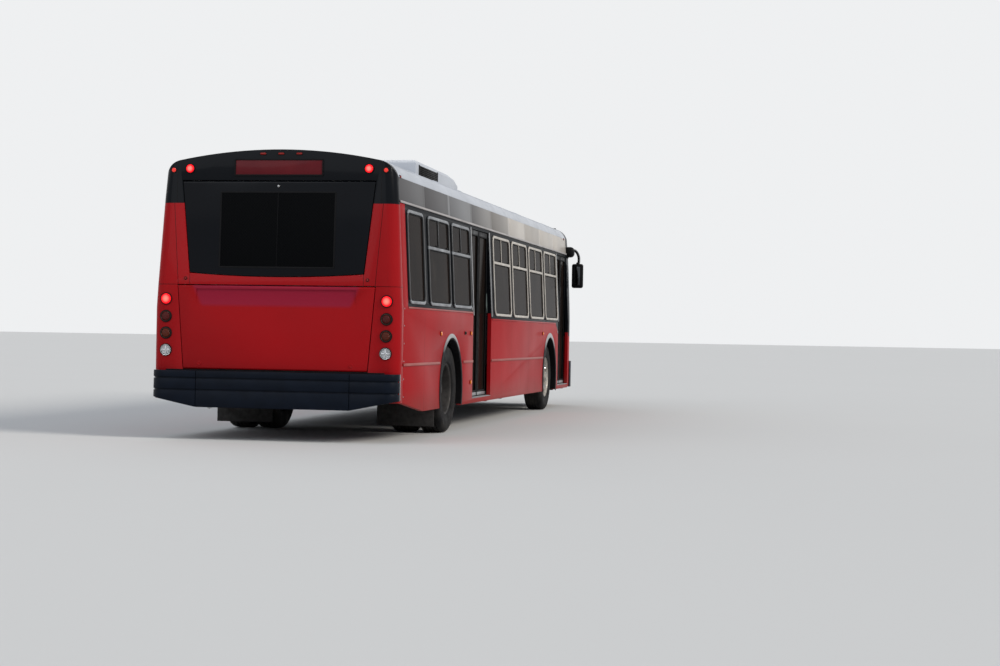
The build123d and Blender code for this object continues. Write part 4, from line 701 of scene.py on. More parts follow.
lit_red = lit_finish()
dim_red = lens_finish("dim_red_lens", (0.28, 0.01, 0.01), 700, (1.0, 0.05, 0.02), 0.08)
lit_small = lens_finish("lit_small_lens", (0.55, 0.02, 0.02), 700, (1.0, 0.05, 0.03), 0.55)
dark_red = lens_finish("dark_red_lens", (0.09, 0.007, 0.006), 700, transmission=0.1)
dark_amber = lens_finish("dark_amber_lens", (0.105, 0.016, 0.006), 700, transmission=0.1)
amber = lens_finish("amber_lens_plastic", (0.85, 0.22, 0.015), 900, (1.0, 0.28, 0.02), 0.25)
clear_lens = lens_finish("clear_lens_plastic", (0.8, 0.82, 0.84), 500, transmission=0.85)
lamp_white = lens_finish("lit_clear_lens", (0.9, 0.92, 0.95), 500, (0.9, 0.95, 1.0), 0.8, 0.5)

# %% Metals, rubber and interior
mirror_glass = plain("mirror_glass", (0.055, 0.06, 0.066), 0.05, metallic=1.0, patch=0.1, scale=3.0)
chrome = plain("chrome", (0.8, 0.81, 0.82), 0.1, metallic=1.0, patch=0.06, scale=20.0)
bronze = plain("bronze_bezel", (0.045, 0.03, 0.022), 0.34, metallic=0.5, patch=0.3, scale=30.0)
galvanised = plain("galvanised_steel", (0.42, 0.43, 0.44), 0.42, 0.9, patch=0.3, scale=18.0, bump=0.06)
rail_steel = plain("brushed_rail_steel", (0.56, 0.56, 0.57), 0.3, metallic=0.9, patch=0.12, scale=8.0)
shell_grey = plain("seat_shell_plastic", (0.1, 0.105, 0.115), 0.48, patch=0.15, scale=9.0, bump=0.05,
                   grain=300.0)
lining = plain("interior_lining", (0.55, 0.54, 0.51), 0.55, patch=0.08, scale=5.0, bump=0.05, grain=160.0)
soft_black = plain("dash_vinyl", (0.022, 0.022, 0.024), 0.55, patch=0.2, scale=6.0, bump=0.18, grain=260.0)
front_steel = plain("front_wheel_silver", (0.42, 0.39, 0.35), 0.4, 0.4, 0.0, 0.35, 14.0, bump=0.06, shine=0.2)
rear_steel = plain("rear_wheel_steel", (0.06, 0.056, 0.054), 0.5, 0.5, 0.0, 0.45, 16.0, bump=0.1, shine=0.1)


def sign_finish():
    """The rear sign is a dull red glass, the front one black, and both are blank."""
    finish = clear("sign_glass", (0.085, 0.01, 0.014), 0.14, 0.0, shine=0.08)
    red = finish.mixed(finish.cloud(3.0, 2.0, 0.2, 0.8), (0.085, 0.009, 0.013), (0.125, 0.013, 0.017))
    finish.feed("Base Color", finish.mixed(finish.above(finish.axis("Y"), 0.0), (0.01, 0.011, 0.013), red))
    return finish.material


def mesh_grille():
    """Black expanded mesh: fine slits across the panel, in faint upright columns."""
    finish = Finish("black_mesh", (0.004, 0.005, 0.006), 0.5, shine=0.02)
    weave = finish.times(finish.wave(finish.axis("Z"), 420.0), finish.wave(finish.axis("X"), 210.0))
    tone = finish.between(weave, 0.0, 1.0, -0.4, 0.6)
    finish.feed("Base Color", finish.mixed(tone, (0.0008, 0.001, 0.0012), (0.0052, 0.0056, 0.0064)))
    finish.feed("Roughness", finish.between(finish.noise(2.0, 3.0), 0.42, 0.6))
    finish.bump(weave, 0.5, 0.003)
    return finish.material


def floor_vinyl():
    """Dark safety vinyl with light and dark flecks."""
    finish = Finish("floor_vinyl", (0.07, 0.072, 0.078), 0.62)
    ground = finish.mixed(finish.cloud(1.6, 5.0, 0.35, 0.7), (0.06, 0.062, 0.068), (0.085, 0.082, 0.078))
    finish.feed("Base Color", finish.mixed(finish.cloud(420.0, 2.0, 0.6, 0.66), ground, (0.35, 0.36, 0.38)))
    finish.worn_roughness(0.45, 0.75, 2.0)
    finish.bump(finish.noise(260.0, 2.0), 0.15, 0.001)
    return finish.material


def seat_cloth():
    """Moquette: a navy pile with a small red and grey fleck and a visible weave."""
    finish = Finish("seat_moquette", (0.025, 0.035, 0.085), 0.85)
    finish.set("Sheen Weight", 0.5)
    finish.set("Sheen Roughness", 0.4)
    cells = finish.node("TexVoronoi", Scale=34.0, Vector=finish.coords)
    fleck = finish.between(cells.outputs["Distance"], 1.0, 0.0, 0.12, 0.2)
    ground = finish.mixed(finish.cloud(60.0, 2.0, 0.6, 0.64), (0.02, 0.028, 0.07), (0.1, 0.11, 0.14))
    finish.feed("Base Color", finish.mixed(fleck, ground, (0.3, 0.03, 0.03)))
    finish.bump(finish.checks(2600.0), 0.35, 0.0008)
    finish.feed("Roughness", finish.between(finish.noise(25.0, 3.0), 0.78, 0.95))
    return finish.material


WHEEL_Z = 0.495
FRONT_AXLE_Y = -3.74
REAR_AXLE_Y = 3.48
SIPES = 84


def tyre_finish(name, axle_y):
    """Tyre rubber: sipes across the tread and dust on the sidewall, laid out round the axle."""
    finish = Finish(name, (0.02, 0.02, 0.021), 0.68, shine=0.08)
    centred = finish.mapped(location=(0, -axle_y, -WHEEL_Z))
    fore, up = finish.axis("Y", centred), finish.axis("Z", centred)
    radius = finish.maths("SQRT", finish.plus(finish.times(fore, fore), finish.times(up, up)))
    sipe = finish.above(finish.wave(finish.maths("ARCTAN2", up, fore), SIPES), 0.72)
    tread = finish.between(radius, 0.0, 1.0, 0.476, 0.482)
    flank = finish.between(radius, 1.0, 0.0, 0.47, 0.478)
    ribs = finish.wave(radius, 900.0)
    dusty = finish.times(finish.cloud(7.0, 5.0, 0.35, 0.75), finish.between(radius, 0.15, 0.75, 0.3, 0.49))
    finish.feed("Base Color", finish.mixed(dusty, (0.009, 0.009, 0.01), (0.042, 0.038, 0.034)))
    height = finish.minus(finish.times(finish.times(ribs, flank), 0.12), finish.times(sipe, tread))
    finish.bump(height, 0.6, 0.004)
    finish.worn_roughness(0.55, 0.82, 9.0)
    return finish.material


sign_glass, mesh_black, vinyl, moquette = sign_finish(), mesh_grille(), floor_vinyl(), seat_cloth()
front_rubber = tyre_finish("front_tyre_rubber", FRONT_AXLE_Y)
rear_rubber = tyre_finish("rear_tyre_rubber", REAR_AXLE_Y)
print("finishes made:", len(bpy.data.materials))

# %% [markdown]
# ## Ways to shape new pieces
#
# Round things are turned: a single point is drawn along half a section and the line is spun once round
# the axis, as on a lathe. Bars and trims start as a box of their own size. Pipes and rails are a curve
# with a round section, turned into a mesh.

# %% Turned pieces, boxes and pipes
UP, OUT = (0, 0, 1), (0, 1, 0)


def weld():
    """In edit mode, merges points that meet and turns the faces outward."""
    pick_all()
    bpy.ops.mesh.remove_doubles(threshold=0.00005)
    bpy.ops.mesh.normals_make_consistent(inside=False)
    leave_edit()


def spun(profile, centre, axis, steps=32):
    """Spins a half section round an axis. Rows are (distance along the axis, radius)."""
    along = Vector(axis).normalized()
    out = along.orthogonal().normalized()
    points = [Vector(centre) + along * x + out * r for x, r in profile]
    pick_none()
    bpy.ops.mesh.primitive_plane_add(size=0.01, location=points[0])
    piece = settle(bpy.context.object)
    edit(piece)
    bpy.ops.mesh.merge(type="CENTER")
    for before, after in zip(points, points[1:]):
        bpy.ops.mesh.extrude_region_move(TRANSFORM_OT_translate={"value": after - before})
    pick_all()
    bpy.ops.mesh.spin(steps=steps, angle=math.tau, center=centre, axis=along)
    weld()
    return piece


def smoothed(piece, angle=35):
    only(piece)
    bpy.ops.object.shade_smooth_by_angle(angle=math.radians(angle))
    return piece


def turned(profile, centre, axis, steps=32, angle=40):
    return smoothed(spun(profile, centre, axis, steps), angle)


def stud(steps_out, centre, axis, steps=20, angle=40):
    """A closed round knob on a surface: it starts at the surface's centre and goes out row by row."""
    return turned([(0.0, 0.0)] + list(steps_out), centre, axis, steps, angle)


def block(low, high, radius=0.0, segments=2, base=(0, 0, 0)):
    """A box between two corners with rounded edges. Corners may be counted from a base."""
    pick_none()
    middle = [(a + b) / 2 + c for a, b, c in zip(low, high, base)]
    bpy.ops.mesh.primitive_cube_add(size=1.0, location=middle)
    piece = bpy.context.object
    piece.scale = [abs(b - a) for a, b in zip(low, high)]
    settle(piece)
    return bevelled(piece, radius, segments) if radius else piece


def pipe(points, radius, sides=12, closed=False, soft=True):
    """A round bar through the points, on a smooth or a straight path."""
    curve = bpy.data.curves.new("path", "CURVE")
    curve.dimensions = "3D"
    spline = curve.splines.new("NURBS" if soft else "POLY")
    spline.points.add(len(points) - 1)
    for point, place in zip(spline.points, points):
        point.co = (*place, 1.0)
    if soft:
        spline.order_u = 3
        spline.use_endpoint_u = not closed
    spline.use_cyclic_u = closed
    spline.resolution_u = 6
    curve.bevel_depth = radius
    curve.bevel_resolution = max(sides // 4 - 1, 0)
    curve.use_fill_caps = not closed
    bar = bpy.data.objects.new("bar", curve)
    bpy.context.scene.collection.objects.link(bar)
    only(bar)
    bpy.ops.object.convert(target="MESH")
    edit(bpy.context.object)
    weld()
    return smoothed(bpy.context.object, 40)


def moved_copy(piece, shift=(0, 0, 0)):
    """A copy with its own mesh, shifted."""
    copy = piece.copy()
    copy.data = piece.data.copy()
    bpy.context.scene.collection.objects.link(copy)
    copy.data.transform(Matrix.Translation(shift))
    return copy


def removed(*pieces):
    for piece in pieces:
        bpy.data.objects.remove(piece, do_unlink=True)


def placed(pieces, stand):
    """Joins pieces that were made flat and stands them on a surface."""
    whole = joined(pieces)
    whole.data.transform(stand)
    if stand.determinant() < 0:
        whole.data.flip_normals()
    return whole


# %% [markdown]
# ## Windows
#
# The side windows sit in extruded aluminium frames with rounded corners, clamped over the body skin.
# Most have a fixed lower pane and two sliding panes above a transom. Every pane is held by a black
# rubber gasket, which is what makes the edge of the glass read so dark.

# %% Places of the windows
HALF = 1.295
LEAN_Z, RAIL_Z, RAIL_LEAN = 1.34, 2.435, 0.058     # the walls lean in between these heights, by this much
LEAN = math.atan2(RAIL_LEAN, RAIL_Z - LEAN_Z)
HEAD = 2.385
TRANSOM = 2.04
FRAME_WIDE, FRAME_PROUD, FRAME_CORNER = 0.032, 0.017, 0.095
REAR_SILL, FRONT_SILL = 1.418, 1.358
# aft end, fore end, sill, whether it has sliding panes
REAR_ROW = [(5.61, 4.85, REAR_SILL, False), (4.65, 3.55, REAR_SILL, True), (3.41, 2.36, REAR_SILL, True)]
FRONT_ROW = [(0.86 - 1.3725 * i, -0.3525 - 1.3725 * i, FRONT_SILL, True) for i in range(4)]
WINDOWS = {
    -1: REAR_ROW + FRONT_ROW,
    1: REAR_ROW + [(2.28, 1.02, FRONT_SILL, True)] + FRONT_ROW + [(-4.63, -5.53, FRONT_SILL, True)],
}


def half_width(z):
    """Half the width of the body at a height."""
    return HALF - RAIL_LEAN * max(z - LEAN_Z, 0) / (RAIL_Z - LEAN_Z)


def slope(z):
    """Distance up the leaning wall at a height."""
    return (z - LEAN_Z) / math.cos(LEAN)


def wall_matrix(side):
    """Takes (along the bus, distance up the slope, out of the wall) to the bus's frame."""
    out = Vector((side * math.cos(LEAN), 0, math.sin(LEAN)))
    up = Vector((-side * math.sin(LEAN), 0, math.cos(LEAN)))
    return Matrix(((0, up.x, out.x, side * HALF), (1, 0, 0, 0), (0, up.z, out.z, LEAN_Z), (0, 0, 0, 1)))


def ring(low, high, corner, wide, depth, edge=0.0, base=0.0):
    """A flat rectangular ring with rounded corners, lying in XY, that rises by depth from base."""
    pick_none()
    middle = ((low[0] + high[0]) / 2, (low[1] + high[1]) / 2, base)
    bpy.ops.mesh.primitive_plane_add(size=1.0, location=middle)
    piece = bpy.context.object
    piece.scale = (high[0] - low[0], high[1] - low[1], 1)
    edit(settle(piece))
    bpy.ops.mesh.bevel(offset=corner, segments=5, affect="VERTICES", profile=0.5)
    pick_all()
    bpy.ops.mesh.inset(thickness=wide, depth=0.0)
    bpy.ops.mesh.delete(type="FACE")
    pick_all()
    bpy.ops.mesh.extrude_region_move(TRANSFORM_OT_translate={"value": (0, 0, depth)})
    pick_all()
    bpy.ops.mesh.normals_make_consistent(inside=False)
    leave_edit()
    return bevelled(piece, edge, 2, 50) if edge else piece


def gasket(low, high, corner=0.02, wide=0.012):
    return ring(low, high, corner, wide, 0.006, 0.002, base=-0.001)


# %% Frames and gaskets
BAR_HALF = 0.016
frames, gaskets = [], []
for side, windows in WINDOWS.items():
    stand = wall_matrix(side)
    for aft, fore, sill, slider in windows:
        low, high = (fore, slope(sill)), (aft, slope(HEAD))
        parts = [ring(low, high, FRAME_CORNER, FRAME_WIDE, FRAME_PROUD, 0.005)]
        left, foot = low[0] + FRAME_WIDE, low[1] + FRAME_WIDE
        right, head = high[0] - FRAME_WIDE, high[1] - FRAME_WIDE
        rubber = []
        if slider:
            under, over = slope(TRANSOM) - BAR_HALF, slope(TRANSOM) + BAR_HALF
            middle = (aft + fore) / 2
            parts.append(block((left - 0.004, under, -0.004), (right + 0.004, over, 0.015), 0.004))
            for shift, proud in ((-0.011, 0.006), (0.011, 0.001)):
                x = middle + shift
                parts.append(block((x - 0.01, over, -0.004), (x + 0.01, head + 0.004, proud), 0.002))
            rubber.append(gasket((left, foot), (right, under), wide=0.014))
            for near, far in ((left, middle - 0.021), (middle + 0.021, right)):
                rubber.append(gasket((near, over), (far, head)))
                rubber.append(block((0.05, 0.014, 0.0), (0.11, 0.026, 0.007), 0.002, base=(near, over, 0)))
        else:
            rubber.append(gasket((left, foot), (right, head), 0.063, 0.014))
        frames.append(placed(parts, stand))
        gaskets.append(placed(rubber, stand))
finished(frames, "window_frame_rings", frame_metal, ["window_frames"])
finished(gaskets, "window_gaskets", black_rubber)
print("windows framed:", len(frames))

# %% [markdown]
# ## Wheels
#
# Ten-stud steel disc wheels with tubeless tyres. Each tyre is turned from one section: beads, bulging
# flank, rounded shoulder and a tread with four rain grooves. The front disc bulges outward and the rear
# one, of a twin pair, is dished inward. Hand holes are drilled, then nuts are set round the hub.

# %% Sections of tyre and discs, as (distance out, radius)
half_section = [
    (0.116, 0.287), (0.124, 0.298), (0.131, 0.306), (0.13, 0.312), (0.137, 0.335), (0.1415, 0.372),
    (0.142, 0.392), (0.1395, 0.425), (0.1405, 0.43), (0.134, 0.456), (0.124, 0.474), (0.112, 0.486),
    (0.098, 0.4915), (0.074, 0.494), (0.073, 0.482), (0.063, 0.482), (0.062, 0.4945), (0.026, 0.495),
    (0.025, 0.482), (0.014, 0.482), (0.013, 0.495),
]
tyre_section = half_section + [(-x, r) for x, r in reversed(half_section)] + half_section[:1]
FRONT_DISC = [
    (0.1425, 0.0), (0.1425, 0.046), (0.138, 0.052), (0.13, 0.054), (0.13, 0.074), (0.126, 0.08),
    (0.104, 0.084), (0.1, 0.104), (0.088, 0.11), (0.086, 0.118), (0.085, 0.196), (0.078, 0.206),
    (0.052, 0.24), (0.034, 0.254), (0.036, 0.261), (0.086, 0.263), (0.104, 0.271), (0.112, 0.283),
    (0.121, 0.29), (0.125, 0.289), (0.126, 0.293), (0.121, 0.296), (0.112, 0.29), (0.104, 0.2865),
    (-0.1, 0.2865), (-0.112, 0.292), (-0.118, 0.29), (-0.112, 0.28), (-0.06, 0.272),
    (0.01, 0.262), (0.02, 0.246), (0.04, 0.232), (0.07, 0.196), (0.07, 0.118), (-0.02, 0.112),
    (-0.026, 0.07), (-0.026, 0.0),
]
REAR_DISC = [
    (0.06, 0.0), (0.06, 0.06), (0.056, 0.066), (0.048, 0.068), (0.046, 0.094), (0.04, 0.1),
    (-0.03, 0.104), (-0.034, 0.112), (-0.036, 0.192), (-0.03, 0.206), (-0.01, 0.238), (0.0, 0.25),
    (0.02, 0.258), (0.086, 0.263), (0.104, 0.271), (0.108, 0.28), (0.1125, 0.283), (0.114, 0.286),
    (0.112, 0.29), (0.104, 0.2865), (-0.43, 0.2865), (-0.436, 0.28), (-0.43, 0.268), (-0.06, 0.256),
    (-0.046, 0.24), (-0.054, 0.2), (-0.06, 0.12), (-0.3, 0.11), (-0.306, 0.075), (-0.1, 0.072),
    (-0.1, 0.0),
]
STUDS, STUD_CIRCLE = 10, 0.1675
HOLE_CIRCLE, HOLE_R, DRILL_LONG = 0.226, 0.017, 0.13
NUT_HIGH = 0.026


# %% Drilled discs and nuts
def round_copies(piece, centre, phase=0.0):
    """As many copies as a wheel has studs, turned evenly round its axis, in place of the piece."""
    place = Matrix.Translation(centre)
    copies = []
    for i in range(STUDS):
        copy = moved_copy(piece)
        copy.data.transform(place @ Matrix.Rotation(phase + math.tau * i / STUDS, 4, "X") @ place.inverted())
        copies.append(copy)
    removed(piece)
    return joined(copies)


def holed(disc, centre):
    """Drills the hand holes of a wheel disc."""
    pick_none()
    bpy.ops.mesh.primitive_cylinder_add(
        vertices=20, radius=HOLE_R, depth=DRILL_LONG,
        location=(centre[0], centre[1] + HOLE_CIRCLE, centre[2]), rotation=(0, math.pi / 2, 0),
    )
    drills = round_copies(settle(bpy.context.object), centre)
    only(disc)
    cut = disc.modifiers.new("holes", "BOOLEAN")
    cut.operation = "DIFFERENCE"
    cut.solver = "EXACT"
    cut.object = drills
    bpy.ops.object.modifier_apply(modifier=cut.name)
    removed(drills)
    return disc


def nut(start, axis):
    """A wheel nut with its washer and the end of its stud."""
    washer = spun([(0.0, 0.0), (0.0, 0.021), (0.004, 0.021), (0.006, 0.018), (0.006, 0.0)], start, axis, 20)
    top = NUT_HIGH
    hexagon = spun([(0.005, 0.0), (0.005, 0.0175), (top - 0.003, 0.0175), (top, 0.0145), (top, 0.0)],
                   start, axis, 6)
    end = spun([(top - 0.002, 0.0), (top - 0.002, 0.0105), (top + 0.012, 0.0105), (top + 0.014, 0.0085),
                (top + 0.014, 0.0)], start, axis, 14)
    return joined([washer, hexagon, end])


# %% Four wheels
ENDS = {
    # axle, middles of the tyres, disc, its face, finishes of tyre, disc and nuts
    "front": (FRONT_AXLE_Y, (1.107,), FRONT_DISC, 0.085, front_rubber, front_steel, chrome),
    "rear": (REAR_AXLE_Y, (1.12, 0.794), REAR_DISC, -0.034, rear_rubber, rear_steel, galvanised),
}
for side_name, side in (("right", -1), ("left", 1)):
    for end, (axle_y, middles, section, face, rubber, steel, nut_finish) in ENDS.items():
        body = f"{end}_{side_name}_wheel"
        axis = (side, 0, 0)
        tyres = [turned(tyre_section, (side * x, axle_y, WHEEL_Z), axis, 96, 30) for x in middles]
        finished(tyres, body + "_tyre_turned", rubber, [f"{end}_{side_name}_tyre"], body)
        centre = (side * middles[0], axle_y, WHEEL_Z)
        face_x = middles[0] + face
        disc = holed(spun(section, centre, axis, 80), (side * (face_x - 0.015), axle_y, WHEEL_Z))
        finished(smoothed(disc, 32), body + "_disc", steel, [f"{end}_{side_name}_rim"], body)
        one = nut((side * face_x, axle_y + STUD_CIRCLE, WHEEL_Z), axis)
        nuts = round_copies(one, centre, math.pi / STUDS)
        finished(smoothed(nuts, 30), body + "_nuts", nut_finish, body=body)
        bends = ((-0.02, 0.243, 0.0), (0.02, 0.244, 0.01), (0.035, 0.236, 0.02))
        valve = pipe([(side * (face_x + x), axle_y + y, WHEEL_Z + z) for x, y, z in bends], 0.0045, 8)
        finished(valve, body + "_valve", chrome, body=body)
print("wheels turned:", 2 * len(ENDS))

# %% [markdown]
# ## Lamps
#
# The rear lamps are round units set in rubber rings: a lit red one, two dark ones and a clear one on
# each corner, and one lit red one in each upper corner. Every lens is a shallow dome behind a bezel.

# %% Rear lamps
REAR_Y = 6.02
REAR_LEAN_Z = 1.58
REAR_TILT = math.atan2(0.057, 2.96 - REAR_LEAN_Z)
LEAN_OUT = Vector((0, math.cos(REAR_TILT), math.sin(REAR_TILT)))


def rear_face(x, z):
    """The point of the rear face at a place, and which way it looks."""
    if z <= REAR_LEAN_Z:
        return Vector((x, REAR_Y, z)), Vector(OUT)
    return Vector((x, REAR_Y - (z - REAR_LEAN_Z) * math.tan(REAR_TILT), z)), LEAN_OUT


def bezel(place, out, r, depth):
    rows = ((0.45, 1.0), (0.62, 0.97), (0.66, 0.93), (0.6, 0.89), (0.36, 0.84), (0.2, 0.8), (0.0, 0.7))
    section = [(0.0, r * 0.7), (-0.009, r * 0.8), (-0.009, r)] + [(depth * x, r * y) for x, y in rows]
    return turned(section, place, out, 40)


def lens(place, out, r, depth):
    rows = ((0.1, 0.0), (0.1, 1.0), (0.34, 1.0), (0.58, 0.92), (0.78, 0.66), (0.86, 0.34), (0.88, 0.0))
    return turned([(depth * x, r * y) for x, y in rows], place, out, 40, 60)


REAR_LAMPS = (
    # x, z, radius, kind
    (1.16, 1.429, 0.063, "red"), (0.943, 2.763, 0.05, "red"), (1.16, 1.25, 0.063, "dark"),
    (1.157, 1.08, 0.063, "amber"), (1.155, 0.906, 0.063, "clear"),
)
LAMP_DEEP = 0.024
rings, bronzes, bowls = [], [], []
lenses = {"red": [], "dark": [], "amber": [], "clear": []}
for side in (-1, 1):
    for x, z, r, kind in REAR_LAMPS:
        place, out = rear_face(side * x, z)
        double = kind in ("dark", "amber")
        rings.append(bezel(place, out, r, LAMP_DEEP * (0.8 if double else 1.0)))
        if double:
            bronzes.append(bezel(place, out, r * 0.86, LAMP_DEEP))
        lenses[kind].append(lens(place, out, r * (0.72 if double else 0.86), LAMP_DEEP))
        if kind == "clear":
            bowl = [(0.001, 0.0), (0.001, 0.05), (0.012, 0.053), (0.013, 0.056), (0.0, 0.056), (0.0, 0.0)]
            bowls.append(turned(bowl, place, out, 36))
            for wide, high in ((0.044, 0.008), (0.008, 0.044)):
                bowls.append(block((-wide, 0.003, -high), (wide, 0.01, high), 0.003, base=place))
finished(rings, "rear_lamp_rings", black_rubber)
finished(bronzes, "rear_lamp_bezels", bronze)
finished(lenses["red"], "lit_rear_lenses", lit_red, ["red_lamps"])
finished(lenses["dark"], "dark_rear_lenses", dark_red, ["dark_lamps"])
finished(lenses["amber"], "turn_signal_lenses", dark_amber)
finished(bowls, "reverse_lamp_bowls", chrome)
finished(lenses["clear"], "reverse_lamp_lenses", clear_lens, ["clear_lamps"])

# %% Small lamps of the rear header
tiny, tiny_rings, corner_lamps = [], [], []
for x in (-0.21, -0.02, 0.17):
    place, out = rear_face(x, 2.916)
    tiny_rings.append(block((-0.036, -0.004, -0.014), (0.036, 0.006, 0.014), 0.004, base=place))
    tiny.append(block((-0.03, -0.002, -0.009), (0.03, 0.012, 0.009), 0.006, 3, place))
for side in (-1, 1):
    place, out = rear_face(side * 1.118, 2.748)
    base = [(-0.006, 0), (-0.006, 0.029), (0.004, 0.029), (0.006, 0.025), (0.004, 0)]
    tiny_rings.append(turned(base, place, out, 28))
    dome = [(0.002, 0), (0.002, 0.024), (0.009, 0.02), (0.014, 0.009), (0.015, 0)]
    corner_lamps.append(turned(dome, place, out, 28, 60))
    place, out = rear_face(side * 0.957, 1.64)
    tiny_rings.append(stud([(0, 0.017), (0.004, 0.017), (0.006, 0.013), (0.004, 0)], place, out, angle=35))
    tiny.append(turned([(0.003, 0), (0.003, 0.012), (0.008, 0.009), (0.01, 0)], place, out, 20, 60))
finished(tiny_rings, "small_lamp_bases", black_rubber)
finished(tiny, "small_red_lamps", dim_red)
finished(corner_lamps, "header_corner_lamps", lit_small)

# %% Side markers
lamps, bases = [], []
for side in (-1, 1):
    for ahead, z in ((1.955, 1.119), (3.64, 1.13), (3.65, 0.549), (9.076, 1.151)):
        place = (side * HALF, REAR_Y - ahead, z)
        bases.append(block((0.0, -0.026, -0.026), (side * 0.006, 0.026, 0.026), 0.003, base=place))
        lamps.append(block((side * 0.004, -0.021, -0.021), (side * 0.0155, 0.021, 0.021), 0.007, 3, place))
finished(bases, "side_marker_bases", black_rubber)
finished(lamps, "side_marker_lenses", amber, ["amber_markers"])
print("lamps modelled")

# %% [markdown]
# ## Everything else from the frame
#
# The rest of the frame keeps its shape. Castings and pressings get a rounded edge, panes get their
# glass, and the floor its vinyl.

# %% Remaining parts
OTHERS = (
    # slot, finish, edge radius, nodes
    ("floor_covering", vinyl, 0.004, ("floor",)),
    ("floor_covering", vinyl, 0.006, ("wheelhouses",)),
    ("black_trim", lining, 0.004, ("bulkhead",)),
    ("chassis_iron", chassis, 0.003, ("underframe",)),
    ("chassis_iron", chassis, 0.015, ("engine",)),
    ("chassis_iron", chassis, 0.004, ("front_axle", "right_knuckle", "left_knuckle")),
    ("chassis_iron", chassis, 0.01, ("rear_axle",)),
    ("black_trim", soft_black, 0.008, ("dashboard",)),
    ("seat_fabric", shell_grey, 0.008, ("driver_seat", "passenger_seats")),
    ("rail_steel", rail_steel, 0.0, ("handrails",)),
    ("sign_glass", sign_glass, 0.002, ("signs",)),
    ("tinted_glass", screen_glass, 0.0, ("windscreen",)),
    ("tinted_glass", window_glass, 0.0, ("side_glass",)),
)
for slot, material, radius, nodes in OTHERS:
    for node in nodes:
        smoothed(dressed(node, material, radius))
for leaf in ("front_door_fore", "front_door_aft", "rear_door_fore", "rear_door_aft"):
    dressed(leaf, black_satin, 0.003)
    dressed(leaf + "_glass", window_glass, 0.0)
print("parts dressed:", sum(len(row[3]) for row in OTHERS) + 8)

# %% [markdown]
# ## The rear end
#
# The black upper door hides the cooling air inlet: a rectangle of fine mesh in two halves behind a thin
# frame. A small dome sits over it, the rear sign has a shallow frame, and bright strips on the bumper's
# ends stand for a painted highlight of their edges. The mesh rectangle rides on the door, so that it swings
# up with it.

# %% Flat things on the leaning rear face
REAR_SURFACE = Matrix((
    (-1, 0, 0, 0), (0, -math.sin(REAR_TILT), math.cos(REAR_TILT), REAR_Y),
    (0, math.cos(REAR_TILT), math.sin(REAR_TILT), REAR_LEAN_Z), (0, 0, 0, 1),
))
INLET_HALF = 0.61


def up(z):
    """Distance up the leaning face at a height."""
    return (z - REAR_LEAN_Z) / math.cos(REAR_TILT)


def on_rear(pieces, name, material, body="upper_rear_panel"):
    finished(placed(pieces, REAR_SURFACE), name, material, body=body)


foot, head = up(1.75), up(2.53)
on_rear([
    ring((-INLET_HALF, foot), (INLET_HALF, head), 0.012, 0.016, 0.0035, 0.001),
    block((-0.003, foot + 0.012, 0.0), (0.003, head - 0.012, 0.003), 0.001),
], "inlet_frame", black_satin)
on_rear([
    block((side * 0.004, foot + 0.014, 0.0), (side * (INLET_HALF - 0.014), head - 0.014, 0.0018), 0.0006)
    for side in (-1, 1)
], "inlet_mesh", mesh_black)
DOME = [(0.0, 0.012), (0.004, 0.012), (0.007, 0.009), (0.009, 0.004), (0.0095, 0.0)]
on_rear([stud(DOME, (0, up(2.585), 0), UP, angle=50)], "rear_camera_dome", galvanised)
sign_edge = ring((-0.469, up(2.688)), (0.469, up(2.862)), 0.01, 0.014, 0.01, 0.002)
on_rear([sign_edge], "rear_sign_frame", black_satin, "bus_body")

# %% Bumper gap and ends, hatch locks and bolts
# a black strip in the gap over the bumper: painted shadow of the line between bumper and hatch
gap = block((-1.15, REAR_Y - 0.004, 0.7005), (1.15, REAR_Y + 0.005, 0.7125), 0.002)
finished(gap, "bumper_gap_rubber", black_rubber)
# bright strips on the bumper's ends: a painted highlight of their edges
ends = [block((side * 1.2865, 5.9495, 0.432), (side * 1.2985, 5.96, 0.698), 0.002) for side in (-1, 1)]
finished(ends, "bumper_end_strips", aluminium)
LOCK = [(0.0, 0.019), (0.003, 0.019), (0.0045, 0.016), (0.003, 0.012), (0.003, 0.0)]
locks = [stud(LOCK, (x, REAR_Y, 0.775), OUT, 24) for x in (-0.8, 0.8)]
finished(locks, "hatch_locks", red_plain, body="engine_hatch_panel")
bolts = [
    stud([(0.0, 0.008), (0.003, 0.007), (0.0045, 0.0)], (side * HALF, 5.815, z), (side, 0, 0), 12, 50)
    for side in (-1, 1) for z in (0.47, 0.65, 0.83, 1.01, 1.19, 1.365)
]
finished(bolts, "corner_post_bolts", galvanised)
print("rear end trimmed")

# %% [markdown]
# ## Trims along the sides
#
# A moulding runs under the windows, where the black band meets the red skirt; behind the rear door it is
# red with pale patches of painted highlight. Every wheel opening has a rubber fender whose outer edge carries
# a painted highlight along its top, made from one small section that is spun round the axle.
# The doorways have aluminium jambs, treadplate sills and a row of small lamps and locks beside them.

# %% Sections spun part of the way round an axle
LOW_TURN = math.radians(-19)


def arch(section, side, axle_y):
    """Spins a closed section of (radius, distance out from the middle of the bus) round an axle."""
    centre = Vector((0, axle_y, WHEEL_Z))
    turn = Matrix.Rotation(LOW_TURN, 3, "X")
    corners = [centre + turn @ Vector((side * x, r, 0)) for r, x in section]
    pick_none()
    bpy.ops.mesh.primitive_circle_add(vertices=len(corners), radius=0.01, fill_type="NGON", location=centre)
    piece = settle(bpy.context.object)
    for vertex, corner in zip(piece.data.vertices, corners):
        vertex.co = corner
    edit(piece)
    bpy.ops.mesh.spin(steps=40, angle=math.pi - 2 * LOW_TURN, center=centre, axis=(-1, 0, 0))
    weld()
    return smoothed(piece)


